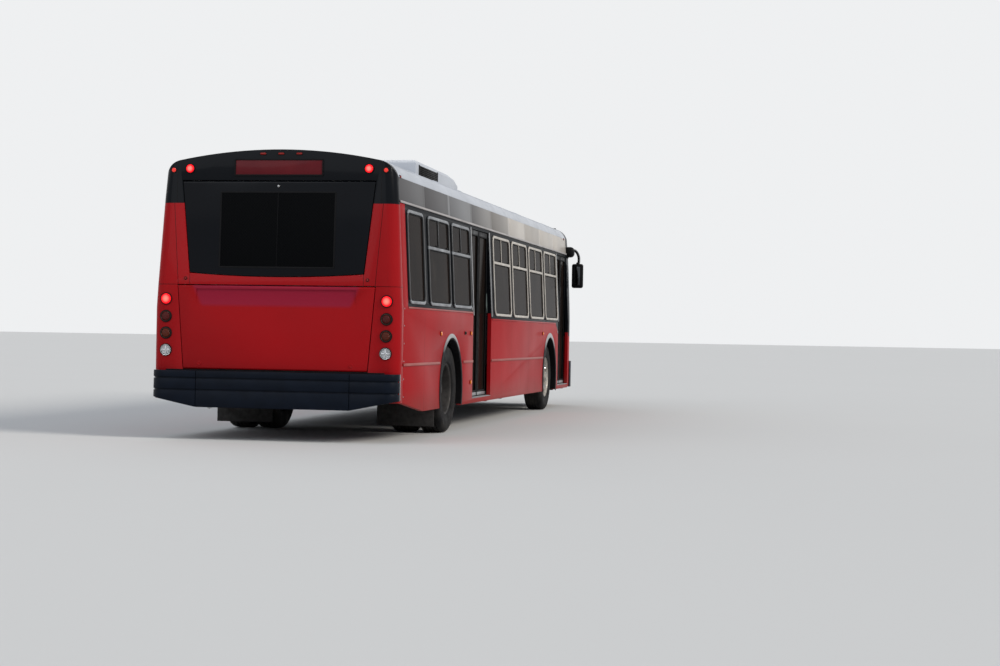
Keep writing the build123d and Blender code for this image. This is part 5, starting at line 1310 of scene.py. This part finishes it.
fenders, edges = [], []
for side in (-1, 1):
    for axle_y, r, wide in ((FRONT_AXLE_Y, 0.59, 0.078), (REAR_AXLE_Y, 0.57, 0.056)):
        rubber = [(r - 0.007, 1.215), (r - 0.007, 1.3), (r + 0.012, 1.303), (r + 0.012, 1.215)]
        fenders.append(arch(rubber, side, axle_y))
        edge = [(r + 0.01, 1.294), (r + 0.01, 1.3035), (r + 0.022, 1.3065), (r + wide - 0.014, 1.305),
                (r + wide, 1.299), (r + wide, 1.294)]
        edges.append(arch(edge, side, axle_y))
finished(fenders, "fender_rubbers", black_rubber)
finished(edges, "fender_edges", fender_grey)
print("fenders spun:", len(fenders))

# %% Mouldings, jambs and sills
HIGH_RUN = (2.27, 5.64, 1.378)
LOW_RUNS = {-1: (-4.27, 1.03, 1.313), 1: (-5.64, 2.24, 1.313)}
lips = {HIGH_RUN: [], LOW_RUNS[-1]: [], LOW_RUNS[1]: []}
for side in (-1, 1):
    for run in (HIGH_RUN, LOW_RUNS[side]):
        fore, aft, z = run
        base = (side * (half_width(z) - 0.002), 0, z)
        lips[run].append(block((0, fore, -0.009), (side * 0.01, aft, 0.009), 0.003, base=base))
finished(lips[HIGH_RUN], "side_mouldings", rail_metal)
finished(lips[LOW_RUNS[-1]] + lips[LOW_RUNS[1]], "front_side_mouldings", red_plain)
jambs = [
    block((y - 0.01, slope(1.345), -0.002), (y + 0.01, slope(2.405), 0.012), 0.003)
    for y in (2.2475, 1.0625, -4.5525)
]
finished(placed(jambs, wall_matrix(-1)), "door_jambs", aluminium)
sills = []
for fore, aft in ((1.085, 2.225), (-5.615, -4.575)):
    sills.append(block((-1.3, fore, 0.3505), (-1.14, aft, 0.357), 0.002))
    for i in range(7):
        rib = (-1.285 + i * 0.02, 0, 0)
        sills.append(block((0, fore + 0.01, 0.356), (0.008, aft - 0.01, 0.3595), 0.001, base=rib))
finished(sills, "door_sills", galvanised)


# %% Small lamps, locks and controls beside the doors
def skin_x(y, z, side):
    """How far out the bus's skin is at a place, found with a ray from the side."""
    best = 0.0
    for name in ("cove_panels", "roof", "rear_cap", "front_mask"):
        skin = bpy.data.objects[name + "_skin"]
        hit, place, _, _ = skin.ray_cast(Vector((side * 3, y, z)), Vector((-side, 0, 0)))
        if hit and abs(place.x) > best:
            best = abs(place.x)
    return side * best


blacks = [
    block((-HALF - 0.007, 2.665, 1.112), (-HALF, 2.755, 1.15), 0.006, 3),
    block((-HALF - 0.016, 2.7, 1.12), (-HALF - 0.005, 2.72, 1.142), 0.004, 2),
]
rim = [(0.0, 0.022), (0.004, 0.022), (0.007, 0.017), (0.004, 0.013), (0.004, 0.0)]
locks = [stud(rim, (-half_width(z), y, z), (-1, 0, 0), 24) for y, z in ((2.315, 1.425), (-4.5, 1.18))]
reds = []
for side in (-1, 1):
    for y, z in ((5.78, 2.7), (-5.48, 2.68)):
        base = (skin_x(y, z, side), y, z)
        blacks.append(block((-side * 0.012, -0.03, -0.02), (side * 0.005, 0.03, 0.016), 0.005, base=base))
        reds.append(block((-side * 0.004, -0.023, -0.013), (side * 0.012, 0.023, 0.01), 0.006, 3, base))
finished(blacks, "side_control_bases", black_satin)
finished(reds, "roof_corner_markers", dim_red)
finished(locks, "door_locks", galvanised)

# %% Radiator grille in the left skirt
slat = block((1.29, 4.96, 0.56), (1.305, 5.64, 0.578), 0.004)
middle = Matrix.Translation((1.2975, 0, 0.569))
slat.data.transform(middle @ Matrix.Rotation(math.radians(28), 4, "Y") @ middle.inverted())
slats = [moved_copy(slat, (0, 0, i * 0.0335)) for i in range(22)]
removed(slat)
posts = [block((1.295, y - 0.006, 0.545), (1.306, y + 0.006, 1.29), 0.002) for y in (5.185, 5.415)]
finished(slats + posts, "radiator_grille_slats", black_satin)
border = placed([ring((4.93, 0.53), (5.67, 1.302), 0.04, 0.03, 0.012, 0.003)],
                Matrix(((0, 0, 1, 1.2945), (1, 0, 0, 0), (0, 1, 0, 0), (0, 0, 0, 1))))
finished(border, "radiator_grille_frame", black_rubber)
back = block((1.2945, 4.95, 0.55), (1.296, 5.65, 1.285), 0.0005)
finished(back, "radiator_grille_screen", sooty_black)
print("side details made")

# %% [markdown]
# ## Door leaves
#
# Each leaf is a slim black frame round one tall pane. The pane is held by a rubber bead, the leading
# edge carries a soft finger guard, a brush closes the foot, and a steel handle is bolted inside. All of
# it rides on its own leaf, so it has to stay clear of the neighbour when both leaves swing out.

# %% Beads, guards, brushes and handles
LEAVES = (
    # leaf, fore edge, aft edge, pivot at the aft edge
    ("rear_door_aft", 1.659, 2.232, True),
    ("rear_door_fore", 1.078, 1.651, False),
    ("front_door_aft", -5.091, -4.568, True),
    ("front_door_fore", -5.622, -5.099, False),
)
LEAF_LOW, LEAF_HIGH = 0.368, 2.387
LEAF_OUT, LEAF_IN = -1.228, -1.192
BEAD_IN = 0.05
GRIP = ((-0.002, 1.02), (0.055, 1.02), (0.06, 1.06), (0.06, 1.3), (0.06, 1.54), (0.055, 1.58), (-0.002, 1.58))
KNOB = [(0.0, 0.024), (0.004, 0.024), (0.006, 0.018), (0.006, 0.0)]
for leaf, fore, aft, pivot_aft in LEAVES:
    body = leaf + "_leaf"
    rubbers = []
    for face, look in ((LEAF_OUT, -1), (LEAF_IN, 1)):
        stand = Matrix(((0, 0, look, face), (1, 0, 0, 0), (0, 1, 0, 0), (0, 0, 0, 1)))
        low, high = (fore + BEAD_IN, LEAF_LOW + BEAD_IN), (aft - BEAD_IN, LEAF_HIGH - BEAD_IN)
        rubbers.append(placed([ring(low, high, 0.03, 0.016, 0.004, 0.0015)], stand))
    meeting, inward = (fore, 1) if pivot_aft else (aft, -1)
    rubbers.append(block((LEAF_OUT - 0.004, meeting - inward * 0.003, LEAF_LOW + 0.004),
                         (LEAF_IN + 0.002, meeting + inward * 0.022, LEAF_HIGH - 0.004), 0.003))
    rubbers.append(block((LEAF_OUT + 0.008, fore + 0.012, LEAF_LOW - 0.0065),
                         (LEAF_IN - 0.008, aft - 0.012, LEAF_LOW + 0.012), 0.002))
    finished(rubbers, leaf + "_rubbers", black_rubber, body=body)
    grip = meeting + inward * 0.09
    handle = [pipe([(LEAF_IN + x, grip, z) for x, z in GRIP], 0.012, 12)]
    handle += [stud(KNOB, (LEAF_IN, grip, z), (1, 0, 0)) for z in (1.02, 1.58)]
    finished(handle, leaf + "_handle", rail_steel, body=body)
    near, far = (0.024, 0.004) if pivot_aft else (0.004, 0.024)
    strip = block((LEAF_OUT - 0.0025, fore + near, LEAF_LOW + 0.002),
                  (LEAF_OUT + 0.004, aft - far, LEAF_LOW + 0.04), 0.0015)
    finished(strip, leaf + "_kick_strip", galvanised, body=body)
print("door leaves trimmed:", len(LEAVES))

# %% [markdown]
# ## The front
#
# The front is a shallow bow that is cut back by a leaning plane above the lamps. Things are set on it
# through one function that gives the face's place at any point, so lamps, wipers and grille slats all
# sit on the same surface.

# %% The front face
FRONT_NOSE = -6.04
BOW_R = 7.047
RAKE = 0.23 / 1.83
AHEAD = (0, -1, 0)


def front_face(x, z, proud=0.0):
    """The point of the front face at a place, or so far ahead of it."""
    bow = BOW_R - math.sqrt(BOW_R ** 2 - x ** 2)
    return Vector((x, FRONT_NOSE + max(bow, (z - 1.13) * RAKE), z)) + Vector((0, -proud, 0))


def sunken(piece, test, lip, slope_in, depth):
    """Insets one face of a piece, then pushes what is left of it in."""
    edit(piece)
    pick_faces(test)
    bpy.ops.mesh.inset(thickness=lip, depth=0.0)
    bpy.ops.mesh.inset(thickness=slope_in, depth=-depth)
    leave_edit()
    return smoothed(piece)


# %% Headlamps with two round lights and an indicator in one housing
BOWL = [(0.0, 0.04), (0.006, 0.064), (0.009, 0.07), (0.009, 0.074), (-0.001, 0.074), (-0.001, 0.0)]
COVER = [(0.0015, 0.0), (0.0015, 0.062), (0.006, 0.06), (0.0085, 0.04), (0.0095, 0.0)]
housings, bowls, covers, signals = [], [], [], []
for side in (-1, 1):
    housing = block((side * 0.7, -6.058, 0.806), (side * 1.1, -5.94, 0.994), 0.03, 4)
    housings.append(sunken(housing, lambda centre, normal: normal.y < -0.9999, 0.012, 0.006, 0.01))
    for x in (side * 0.8, side * 0.955):
        at = Vector((x, -6.046, 0.9))
        bowls.append(stud(BOWL, at, AHEAD, 32))
        covers.append(turned(COVER, at, AHEAD, angle=60))
    signals.append(block((side * 1.045, -6.056, 0.835), (side * 1.085, -6.04, 0.965), 0.008, 3))
finished(housings, "headlamp_housings", black_satin, ["headlamps"])
finished(bowls, "headlamp_bowls", chrome)
finished(covers, "headlamp_lenses", clear_lens)
finished(signals, "front_indicators", amber)

# %% Clearance lamps and grille
lamps, bases = [], []
for x in (-1.0, -0.19, 0.0, 0.19, 1.0):
    place = front_face(x, 2.86)
    bases.append(block((-0.04, -0.006, -0.016), (0.04, 0.02, 0.016), 0.005, base=place))
    lamps.append(block((-0.032, -0.017, -0.01), (0.032, 0.0, 0.01), 0.007, 3, place))
finished(lamps, "front_clearance_lamps", amber)
finished(bases, "front_lamp_bases", black_rubber)
slats = [
    block((-0.13, -0.006, -0.008), (0.13, 0.016, 0.008), 0.004, base=front_face(side * x, 0.8 + i * 0.034))
    for i in range(6) for side in (-1, 1) for x in (0.16, 0.44)
]
finished(slats, "front_grille_slats", black_satin)
grille_back = block((-0.585, -6.0415, 0.78), (0.585, -6.01, 0.992), 0.004)
finished(grille_back, "front_grille_back", sooty_black)

# %% Windscreen rubbers and wipers
SCREEN = ((0.02, 1.15), (1.13, 1.15), (1.13, 2.33), (0.02, 2.33))
EDGE_STEPS = 8
PIVOT = [(0.0, 0.03), (0.02, 0.026), (0.03, 0.016), (0.03, 0.0)]
rubbers, arms, blades = [], [], []
for side in (-1, 1):
    for (x0, z0), (x1, z1) in zip(SCREEN, SCREEN[1:] + SCREEN[:1]):
        parts = [i / EDGE_STEPS for i in range(EDGE_STEPS + 1)]
        path = [front_face(side * (x0 + (x1 - x0) * t), z0 + (z1 - z0) * t, 0.002) for t in parts]
        rubbers.append(pipe(path, 0.011, 8))
    base = front_face(side * 0.52, 1.085, 0.004)
    middle = front_face(side * 0.15, 1.7, 0.036)
    blade_x = side * 0.105
    arms.append(stud(PIVOT, base, AHEAD))
    start, bend = base + Vector((0, -0.022, 0)), (base + middle) / 2 + Vector((0, -0.026, 0))
    arms.append(pipe([start, bend, middle], 0.008, 8))
    bar = [front_face(blade_x, 1.3, 0.03), middle, front_face(blade_x, 2.12, 0.03)]
    arms.append(pipe(bar, 0.006, 8, soft=False))
    blades.append(pipe([front_face(blade_x, z, 0.018) for z in (1.3, 1.7, 2.12)], 0.0075, 8, soft=False))
finished(rubbers, "windscreen_rubbers", black_rubber)
finished(arms, "wiper_arms", black_satin)
finished(blades, "wiper_blades", black_rubber)
print("front furnished")

# %% [markdown]
# ## Mirrors
#
# A mirror is a moulded shell with a slightly sunken glass, hung from a bent tube that grows out of a
# thick bracket at the end of the drip rail. The shell is a block with rounded edges, and the glass side
# is inset and pushed in.

# %% Mirror shells, glasses and arms
ROUTE = ((1.262, -5.775, 2.5), (1.318, -5.84, 2.528), (1.372, -5.905, 2.5),
         (1.403, -5.945, 2.43), (1.408, -5.95, 2.35), (1.4, -5.95, 2.29))
SOCKET = [(0.0, 0.028), (0.03, 0.026), (0.05, 0.018), (0.05, 0.0)]
shells, glasses, tubes, roots = [], [], [], []
for side in (-1, 1):
    x = side * 1.39
    shell = block((x - 0.094, -5.989, 1.908), (x + 0.094, -5.911, 2.303), 0.034, 4)
    shells.append(sunken(shell, lambda centre, normal: normal.y > 0.9999, 0.01, 0.004, 0.008))
    glasses.append(block((x - 0.056, -5.922, 1.95), (x + 0.056, -5.9175, 2.262), 0.002))
    roots.append(pipe([(side * px, py, pz) for px, py, pz in ROUTE], 0.019, 14))
    beside = [(side * (px + 0.01), py, pz + 0.017) for px, py, pz in ROUTE[:3]]
    beside += [(side * (px + 0.019), py, pz + 0.004) for px, py, pz in ROUTE[3:]]
    tubes.append(pipe(beside, 0.009, 8))
    root = block((side * 1.19, -5.87, 2.4), (side * 1.356, -5.69, 2.57), 0.062, 6)
    roots.append(smoothed(root, 40))
    roots.append(block((side * 1.2, -5.83, 2.38), (side * 1.262, -5.7, 2.44), 0.02, 3))
    roots.append(stud(SOCKET, (x, -5.95, 2.278), UP))
finished(shells, "mirror_shells", black_satin, ["mirrors"])
finished(glasses, "mirror_glasses", mirror_glass)
finished(tubes, "mirror_arms", galvanised)
finished(roots, "mirror_brackets", black_satin)
print("mirrors hung")

# %% [markdown]
# ## The roof
#
# Roof sheets overlap in seams that are sealed with a bead. Places on the curved roof are found with a
# ray from above. The equipment housing has its top face inset and pushed down, which leaves a lip round
# two rows of fans, and louvres low in its sides. The hatch lids get a raised panel the same way.

# %% Places on the roof
REAR_HATCH_Y, FRONT_HATCH_Y = -1.58, -4.08


def on_roof(x, y, rise=0.0, name="roof_skin"):
    """A place above the outer skin of the roof."""
    hit, place, _, _ = bpy.data.objects[name].ray_cast(Vector((x, y, 4.0)), Vector((0, 0, -1)))
    return place + Vector((0, 0, rise))


def roof_line(start, end, radius, steps):
    """A bead of sealant that follows the roof."""
    path = []
    for i in range(steps + 1):
        x, y = (a + (b - a) * i / steps for a, b in zip(start, end))
        path.append(on_roof(x, y, 0.001))
    return pipe(path, radius, 6)


# %% Sealed seams across and along the roof
seams = []
for k in range(4, 13):
    y = PANEL_LONG * k + PANEL_START
    spans = [(-1.12, 1.12)]
    if 1.3 < y < 3.7:
        spans = [(-1.12, -0.9), (0.9, 1.12)]
    elif min(abs(y - REAR_HATCH_Y), abs(y - FRONT_HATCH_Y)) < 0.4:
        spans = [(-1.12, -0.38), (0.38, 1.12)]
    seams += [roof_line((low, y), (high, y), 0.005, 12) for low, high in spans]
for x in (-0.98, -1.13, 0.98, 1.13):
    seams.append(roof_line((x, -5.5), (x, 5.7), 0.0045, 20))
finished(seams, "roof_seams", roof_white)
PUCK = [(0.0, 0.062), (0.012, 0.06), (0.04, 0.04), (0.048, 0.022), (0.05, 0.0)]
finished(stud(PUCK, on_roof(0.0, -2.9, -0.002), UP, 28), "roof_aerial", black_satin)


# %% Raised panels on the hatch lids, and the sunken top of the housing
def inset_top(name, y, long, steps):
    """Insets the flat top of a part again and again. Steps are (inset, rise)."""
    skin = bpy.data.objects[name]
    edit(skin)
    pick_faces(lambda centre, normal: normal.z > 0.9999 and centre.z > 3.0 and abs(centre.x) < 0.05
               and abs(centre.y - y) < long)
    for inset, rise in steps:
        bpy.ops.mesh.inset(thickness=inset, depth=rise)
    leave_edit()
    return smoothed(skin, 30)


LID_STEPS = ((0.055, 0.0), (0.012, 0.01), (0.18, 0.0), (0.01, -0.007))
inset_top("rear_roof_hatch_skin", REAR_HATCH_Y, 0.1, LID_STEPS)
inset_top("front_roof_hatch_skin", FRONT_HATCH_Y, 0.1, LID_STEPS)
inset_top("roof_unit_skin", 2.6, 1.0, ((0.055, 0.0), (0.006, -0.034)))

# %% Fans and louvres of the equipment housing
FAN_WELL = [(0.0, 0.248), (0.014, 0.248), (0.014, 0.234), (0.003, 0.23), (0.003, 0.0)]
FAN_HUB = [(0.002, 0.0), (0.002, 0.06), (0.012, 0.058), (0.014, 0.0)]


def round_point(base, r, part, rise):
    """A point at a radius round a base, at a part of the full turn."""
    return base + Vector((r * math.cos(math.tau * part), r * math.sin(math.tau * part), rise))


wells, hubs, guards = [], [], []
for x in (-0.4, 0.4):
    for y in (2.08, 2.615, 3.15):
        base = on_roof(x, y, name="roof_unit_skin")
        wells.append(stud(FAN_WELL, base, UP, 36))
        hubs.append(turned(FAN_HUB, base, UP, 24))
        for r in (0.072, 0.11, 0.148, 0.186, 0.222):
            wire = [round_point(base, r, i / 28, 0.0185) for i in range(28)]
            guards.append(pipe(wire, 0.0022, 5, closed=True))
        for i in range(6):
            spoke = [round_point(base, 0.03, i / 6, 0.02), round_point(base, 0.244, i / 6, 0.017)]
            guards.append(pipe(spoke, 0.003, 5, soft=False))
finished(wells, "fan_wells", sooty_black)
finished(hubs, "fan_hubs", black_satin)
finished(guards, "fan_guards", galvanised)
screens, slats = [], []
for side in (-1, 1):
    x = side * 0.88
    screens.append(block((x - 0.001, 2.52, 2.905), (x + 0.0015, 3.48, 3.03), 0.0005))
    for i in range(6):
        base = (x, 0, 2.915 + i * 0.021)
        slats.append(block((0, 2.53, -0.004), (side * 0.009, 3.47, 0.004), 0.002, base=base))
    for y in (2.505, 3.475):
        slats.append(block((0, 0, 2.898), (side * 0.01, 0.02, 3.036), 0.003, base=(x, y, 0)))
finished(screens, "housing_screens", sooty_black)
finished(slats, "housing_louvres", black_satin)
print("roof furnished")

# %% [markdown]
# ## Seats
#
# A bus seat is a hard moulded shell with a thin padded insert on the seat and one on the back. A pad is
# a block that is rebuilt with even faces and blown up a little by a cloth simulation, with the side
# that rests on the shell held still. It starts smaller than its place, so the crown stays within it.
# One pad of each kind is made, then copied to every seat.

# %% Pads
FRAMES = 20
CAP = 0.006


def inflated(pad, held):
    """Rebuilds a pad with even faces and swells it, moving no point further than the cap."""
    only(pad)
    skin = pad.modifiers.new("skin", "REMESH")
    skin.mode = "VOXEL"
    skin.voxel_size = 0.0095
    bpy.ops.object.modifier_apply(modifier=skin.name)
    still = pad.vertex_groups.new(name="still")
    still.add([v.index for v in pad.data.vertices if held(v.co)], 1.0, "REPLACE")
    start = [v.co.copy() for v in pad.data.vertices]
    swell = pad.modifiers.new("swell", "CLOTH")
    swell.settings.quality = 5
    swell.settings.mass = 0.25
    swell.settings.use_pressure = True
    swell.settings.uniform_pressure_force = 4.0
    swell.settings.vertex_group_mass = "still"
    swell.settings.effector_weights.gravity = 0.0
    swell.point_cache.frame_start = 1
    swell.point_cache.frame_end = FRAMES
    for number in range(1, FRAMES + 1):
        bpy.context.scene.frame_set(number)
    bpy.ops.object.modifier_apply(modifier=swell.name)
    bpy.context.scene.frame_set(1)
    for vertex, before in zip(pad.data.vertices, start):
        move = vertex.co - before
        if move.length > CAP:
            vertex.co = before + move * (CAP / move.length)
    pad.vertex_groups.clear()
    return smoothed(pad, 60)


def leaning(back_by, over):
    return Matrix.Rotation(-math.atan2(back_by, over), 4, "X")


SEAT_TILT, BACK_TILT, SHELL_TILT = leaning(0.015, 0.33), leaning(0.06, 0.595), leaning(0.04, 0.655)


def set_at(piece, tilt, y, z):
    piece.data.transform(Matrix.Translation((0, y, z)) @ tilt)
    return piece


def seat_kit(wide):
    """The pieces of one seat, with its back at y = 0 and its floor at z = 0, facing -Y."""
    half = wide / 2 - 0.006
    cushion = block((-half + 0.018, -0.145, -0.03), (half - 0.018, 0.145, 0.0), 0.01)
    set_at(inflated(cushion, lambda co: co.z < -0.0285), SEAT_TILT, -0.285, 0.4145)
    back = block((-half + 0.02, 0.0, 0.0), (half - 0.02, 0.034, 0.5), 0.011)
    set_at(inflated(back, lambda co: co.y > 0.0325), BACK_TILT, -0.1085, 0.45)
    shell = []
    for low, high, radius, segments, tilt, y, z in (
        ((-half, -0.163, -0.018), (half, 0.16, 0.0), 0.008, 3, SEAT_TILT, -0.285, 0.3845),
        ((-half, -0.166, -0.02), (half, -0.15, 0.018), 0.007, 3, SEAT_TILT, -0.285, 0.387),
        ((-half, -0.024, 0.0), (half, 0.0, 0.64), 0.01, 3, SHELL_TILT, -0.041, 0.365),
        ((-half - 0.007, -0.004, 0.0), (-half + 0.007, 0.04, 0.56), 0.006, 2, BACK_TILT, -0.103, 0.43),
        ((half - 0.007, -0.004, 0.0), (half + 0.007, 0.04, 0.56), 0.006, 2, BACK_TILT, -0.103, 0.43),
    ):
        shell.append(set_at(smoothed(block(low, high, radius, segments)), tilt, y, z))
    return cushion, back, joined(shell)


def leg(wide):
    """The pedestal that carries one bench."""
    half = wide / 8
    return joined([smoothed(block(low, high, radius, 3)) for low, high, radius in (
        ((-half + 0.03, -0.29, 0.03), (half - 0.03, -0.17, 0.355), 0.02),
        ((-half, -0.35, 0.0), (half, -0.1, 0.032), 0.01),
        ((-half, -0.31, 0.335), (half, -0.14, 0.362), 0.008),
    )])


rail = [(0.3, 0.96), (0.3, 1.02), (0.27, 1.04)]
grab = pipe([(-x, -0.03, z) for x, z in rail] + [(x, -0.03, z) for x, z in reversed(rail)], 0.011, 10)
cushion, back, shell = seat_kit(0.4)
bench_leg = leg(0.8)
cushions, backs, shells, legs, grabs = [], [], [], [], []
rows = {-1: 5, 1: 7}
benches = [(side * 0.83, -2.57 + 0.74 * row, 0.36) for side in rows for row in range(rows[side])]
benches += [(side * 0.83, 4.585, 0.78) for side in rows]
for middle, y, z in benches:
    for shift in (-0.2, 0.2):
        for piece, store in ((cushion, cushions), (back, backs), (shell, shells)):
            store.append(moved_copy(piece, (middle + shift, y, z)))
    legs.append(moved_copy(bench_leg, (middle, y, z)))
    grabs.append(moved_copy(grab, (middle, y, z)))
removed(cushion, back, shell, bench_leg, grab)
finished(shells, "passenger_seat_shells", shell_grey, ["passenger_seats"])
finished(legs, "passenger_seat_legs", chassis)
finished(grabs, "seat_grab_rails", rail_steel)
finished(cushions, "passenger_cushions", moquette)
finished(backs, "passenger_back_pads", moquette)
print("seats for passengers:", 2 * len(benches))

# %% The driver's seat
cushion, back, shell = seat_kit(0.48)
column = leg(0.48)
for piece in (cushion, back, shell, column):
    piece.data.transform(Matrix.Translation((0.64, -4.465, 0.56)))
finished([shell, column], "driver_seat_shell", shell_grey, ["driver_seat"])
finished(cushion, "driver_cushion", moquette)
finished(back, "driver_back_pad", moquette)
print("driver's seat made")

# %% [markdown]
# ## Ceiling and dash
#
# Two rows of light troughs run along the ceiling, and grab loops hang from the rails. The dash has two
# round dials and a row of switches.

# %% Ceiling lights, hanging loops, dials and switches
LIGHT_X, LOOP_X = 0.62, 0.361
STRAP = ((0.0, 1.968), (-0.01, 1.94), (-0.004, 1.85), (0.0, 1.82))
HANDLE = ((-0.045, 1.745), (0.045, 1.745), (0.05, 1.765), (0.0, 1.825), (-0.05, 1.765))
troughs, loops, dials, faces = [], [], [], []
for side in (-1, 1):
    for i in range(6):
        y = -3.6 + i * 1.48
        start = Vector((side * LIGHT_X, y, 2.2))
        hit, place, _, _ = bpy.data.objects["roof_skin"].ray_cast(start, Vector(UP))
        troughs.append(block((-0.07, -0.6, -0.034), (0.07, 0.6, -0.01), 0.009, 3, place))
    for i in range(9):
        x, y = side * LOOP_X, -3.4 + i * 0.8
        loops.append(pipe([(x + out, y, z) for out, z in STRAP], 0.008, 8))
        loops.append(pipe([(x, y + along, z) for along, z in HANDLE], 0.008, 8, closed=True))
for x in (0.56, 0.72):
    dial = [(0.0, 0.062), (0.016, 0.062), (0.018, 0.056), (0.006, 0.05), (0.006, 0.0)]
    dials.append(stud(dial, (x, -5.701, 1.04), OUT, 32))
    faces.append(block((x - 0.002, -5.695, 1.04), (x + 0.002, -5.693, 1.082), 0.0005))
for i in range(8):
    x = 0.2 + i * 0.04
    dials.append(block((x - 0.014, -5.701, 0.93), (x + 0.014, -5.694, 0.972), 0.003))
finished(troughs, "ceiling_lights", lamp_white)
finished(loops, "hanging_loops", soft_black)
finished(dials, "dash_dials", black_satin)
finished(faces, "dial_needles", amber)
print("cabin furnished")

# %% [markdown]
# ## Under the body
#
# The engine drives the rear axle through a short shaft. The rear axle hangs on four rubber bellows, and
# the exhaust ends in a silencer beside the engine.

# %% Drive shaft, bellows and silencer
shaft = [pipe([(0, 3.6, 0.5), (0, 4.2, 0.515), (0, 4.745, 0.53)], 0.045, 16)]
for y, z in ((3.66, 0.502), (4.66, 0.527)):
    shaft.append(turned([(-0.04, 0.0), (-0.04, 0.062), (0.04, 0.062), (0.04, 0.0)], (0, y, z), OUT, 20))
finished(shaft, "drive_shaft", chassis)
fold = [(0.0, 0.085), (0.02, 0.1), (0.045, 0.108), (0.065, 0.098), (0.075, 0.086)]
section = fold + [(0.15 - x, r) for x, r in reversed(fold[:-1])] + [(0.15, 0.0)]
bellows = [stud(section, (x, y, 0.42), UP, 28, 50) for x in (-0.42, 0.42) for y in (3.23, 3.73)]
finished(bellows, "air_bellows", black_rubber)
end = [(-0.42, 0.0), (-0.42, 0.1), (-0.39, 0.135)]
can = turned(end + [(-x, r) for x, r in reversed(end)], (0.64, 5.15, 0.56), OUT)
tail = pipe([(0.64, 5.56, 0.56), (0.64, 5.68, 0.54), (0.66, 5.76, 0.44), (0.68, 5.86, 0.372),
             (0.69, 5.99, 0.352)], 0.042, 14)
finished([can, tail], "silencer", galvanised)
print("underside furnished")
